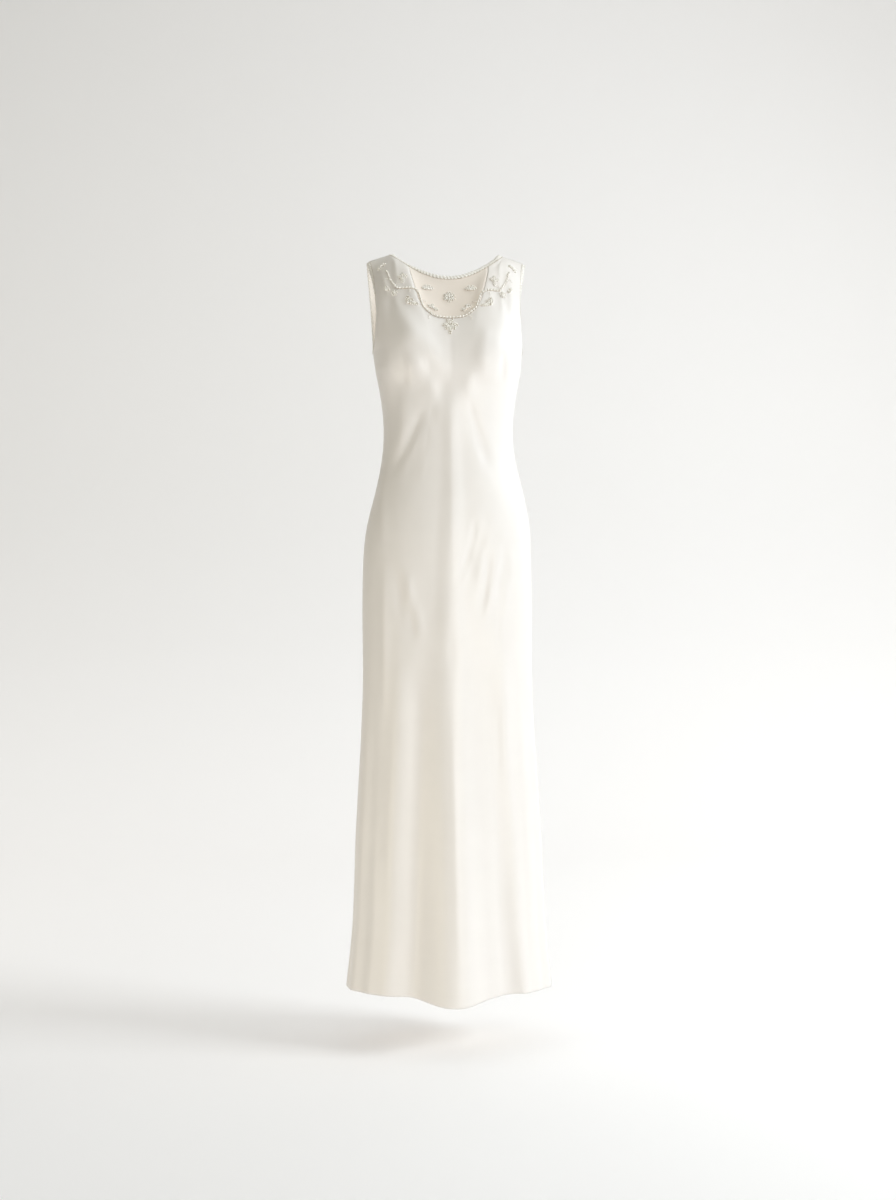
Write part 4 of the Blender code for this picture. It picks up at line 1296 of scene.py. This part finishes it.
def make_stage():
    """A pale cove, the lamps, and the camera in front of the gown."""
    scene = bpy.context.scene
    lit_room, lit_gown = bpy.data.collections.new("lit room"), bpy.data.collections.new("lit gown")
    for made in scene.objects:
        if made.type == "MESH":
            lit_gown.objects.link(made)
    cove = new_object("cove", cove_mesh())
    lit_room.objects.link(cove)
    paint, tree, shader = new_material("pale paint")
    feed(tree, shader, {"Base Color": (*colours().floor, 1.0), "Roughness": 0.9})
    cove.data.materials.append(paint)
    cove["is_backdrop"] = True
    scene.world = room_light()
    ways = {
        "all": ((True, None),),
        "gown": ((True, lit_gown),),
        "open": ((False, lit_gown),),
        "floor": ((True, lit_room),),
        "room": ((False, lit_room),),
        "both": ((True, lit_gown), (False, lit_room)),
    }
    for lamp in LAMPS:
        for shadow, lit in ways[lamp.lights]:
            add_lamp(lamp, shadow, lit)
    add_camera()
    scene.view_settings.view_transform = "Standard"


# Add-on


def size_property(name, description, default):
    return bpy.props.FloatProperty(name=name, description=description, default=default, unit="LENGTH")


class GownSizes(bpy.types.PropertyGroup):
    """Sizes that a user may change"""

    cloth: size_property("Cloth", "Thickness of the satin", 0.0008)
    cloth_step: size_property("Cloth Step", "Width of the satin's mesh cells", 0.0042)
    pearl: size_property("Pearl", "Radius of a pearl on the stem", 0.0022)
    bead: size_property("Bead", "Radius of a seed bead", 0.0015)
    # The dark line beneath the stem is partly painted shadow
    cord_and_shadow: size_property("Cord", "Radius of the stitched cord by the stem", 0.0006)
    stitch: size_property("Stitch", "Length of a stitch", 0.0030)
    thread: size_property("Thread", "Radius of the sewing thread", 0.00042)
    hem: size_property("Hem", "Depth of the turned-up hem", 0.028)
    floor_drop: size_property("Floor Drop", "Gap between the hem and the floor", 0.10)


def colour_property(name, description, default):
    return bpy.props.FloatVectorProperty(
        name=name, description=description, default=default, subtype="COLOR", size=3, min=0.0, max=1.0
    )


class GownColours(bpy.types.PropertyGroup):
    """Colours that a user may change"""

    satin: colour_property("Satin", "Right side of the satin", (0.882, 0.844, 0.817))
    wrong_side: colour_property("Wrong Side", "Dull side of the satin", (0.86, 0.81, 0.75))
    net: colour_property("Net", "Sheer net of the yoke", (0.91, 0.835, 0.765))
    binding: colour_property("Binding", "Rolled edges, button and loop", (0.88, 0.85, 0.80))
    # Dark enough that its rims and rows are partly painted shade round the petals, beneath the pearl stems
    # and beneath the neck roll
    thread: colour_property("Thread", "Embroidery and sewing thread", (0.54, 0.47, 0.37))
    silk: colour_property("Silk", "Floss of the padded petals", (0.93, 0.90, 0.84))
    pearl: colour_property("Pearl", "Seed pearls", (0.98, 0.95, 0.90))
    floor: colour_property("Floor", "Paint of the floor and the cove", (0.92, 0.912, 0.895))


def sizes():
    return bpy.context.scene.gown_sizes


def colours():
    return bpy.context.scene.gown_colours


class GOWN_OT_front(bpy.types.Operator):
    """Lay fine satin over the front"""

    bl_idname = "gown.front"
    bl_label = "Satin Front"

    def execute(self, context):
        cloth, keep = fine_cloth(FRONT), ~yoke_cells()
        make_panel("satin_front", "front", cloth, keep, "satin", "wrong_side", sizes().cloth)
        return {"FINISHED"}


class GOWN_OT_yoke(bpy.types.Operator):
    """Lay net over the yoke"""

    bl_idname = "gown.yoke"
    bl_label = "Net Yoke"

    def execute(self, context):
        make_panel("net_yoke", "yoke", fine_cloth(FRONT), yoke_cells(), "net", "net", sizes().cloth / 2)
        return {"FINISHED"}


class GOWN_OT_backs(bpy.types.Operator):
    """Lay fine satin over both halves of the back"""

    bl_idname = "gown.backs"
    bl_label = "Satin Back"

    def execute(self, context):
        for side, hand in HANDS:
            name, node_name = f"satin_back_{hand}", f"back_{hand}"
            make_panel(name, node_name, *back_half(side), "satin", "wrong_side", sizes().cloth)
        return {"FINISHED"}


class GOWN_OT_hem(bpy.types.Operator):
    """Turn up the hem inside the skirt"""

    bl_idname = "gown.hem"
    bl_label = "Hem"

    def execute(self, context):
        make_hem_bands()
        return {"FINISHED"}


class GOWN_OT_bindings(bpy.types.Operator):
    """Roll bindings over the neck and armhole edges"""

    bl_idname = "gown.bindings"
    bl_label = "Bindings"

    def execute(self, context):
        make_binding("neck_roll", "neck_binding", neck_edge(), NECK_MIDDLE, NECK_WIDTH, closed=False)
        for side, hand in HANDS:
            path, towards = arm_edge(side), ARM_MIDDLE * (side, 1, 1)
            name, stands_for = f"armhole_roll_{hand}", f"armhole_binding_{hand}"
            make_binding(name, stands_for, path, towards, ARM_WIDTH, closed=True)
        return {"FINISHED"}


class GOWN_OT_beadwork(bpy.types.Operator):
    """Sew the pearl stems, flowers and leaves round the neckline"""

    bl_idname = "gown.beadwork"
    bl_label = "Beadwork"

    def execute(self, context):
        for name in VINES:
            make_vine(name)
        for name in MOTIFS:
            make_motif(name)
        return {"FINISHED"}


class GOWN_OT_closure(bpy.types.Operator):
    """Sew the covered button and its loop at the nape"""

    bl_idname = "gown.closure"
    bl_label = "Button and Loop"

    def execute(self, context):
        make_button()
        make_loop()
        return {"FINISHED"}


class GOWN_OT_stitches(bpy.types.Operator):
    """Sew the small stitches that show"""

    bl_idname = "gown.stitches"
    bl_label = "Stitches"

    def execute(self, context):
        make_stitches()
        return {"FINISHED"}


class GOWN_OT_stage(bpy.types.Operator):
    """Set up the floor, the light and the camera"""

    bl_idname = "gown.stage"
    bl_label = "Stage"

    def execute(self, context):
        make_stage()
        return {"FINISHED"}


STEPS = (
    GOWN_OT_front,
    GOWN_OT_yoke,
    GOWN_OT_backs,
    GOWN_OT_hem,
    GOWN_OT_bindings,
    GOWN_OT_beadwork,
    GOWN_OT_closure,
    GOWN_OT_stitches,
    GOWN_OT_stage,
)


class GOWN_PT_panel(bpy.types.Panel):
    """Lists the gown's steps, sizes and colours"""

    bl_idname = "GOWN_PT_panel"
    bl_label = "Column Gown"
    bl_space_type = "VIEW_3D"
    bl_region_type = "UI"
    bl_category = "Gown"

    def draw(self, context):
        for step in STEPS:
            self.layout.operator(step.bl_idname)
        for group in (sizes(), colours()):
            for name in group.__annotations__:
                self.layout.prop(group, name)


CLASSES = (GownSizes, GownColours, *STEPS, GOWN_PT_panel)


def register():
    for made in CLASSES:
        bpy.utils.register_class(made)
    bpy.types.Scene.gown_sizes = bpy.props.PointerProperty(type=GownSizes)
    bpy.types.Scene.gown_colours = bpy.props.PointerProperty(type=GownColours)


def unregister():
    del bpy.types.Scene.gown_colours
    del bpy.types.Scene.gown_sizes
    for made in reversed(CLASSES):
        bpy.utils.unregister_class(made)


def main():
    register()
    bpy.ops.gown.front()
    bpy.ops.gown.yoke()
    bpy.ops.gown.backs()
    bpy.ops.gown.hem()
    bpy.ops.gown.bindings()
    bpy.ops.gown.beadwork()
    bpy.ops.gown.closure()
    bpy.ops.gown.stitches()
    bpy.ops.gown.stage()


if __name__ == "__main__":
    main()
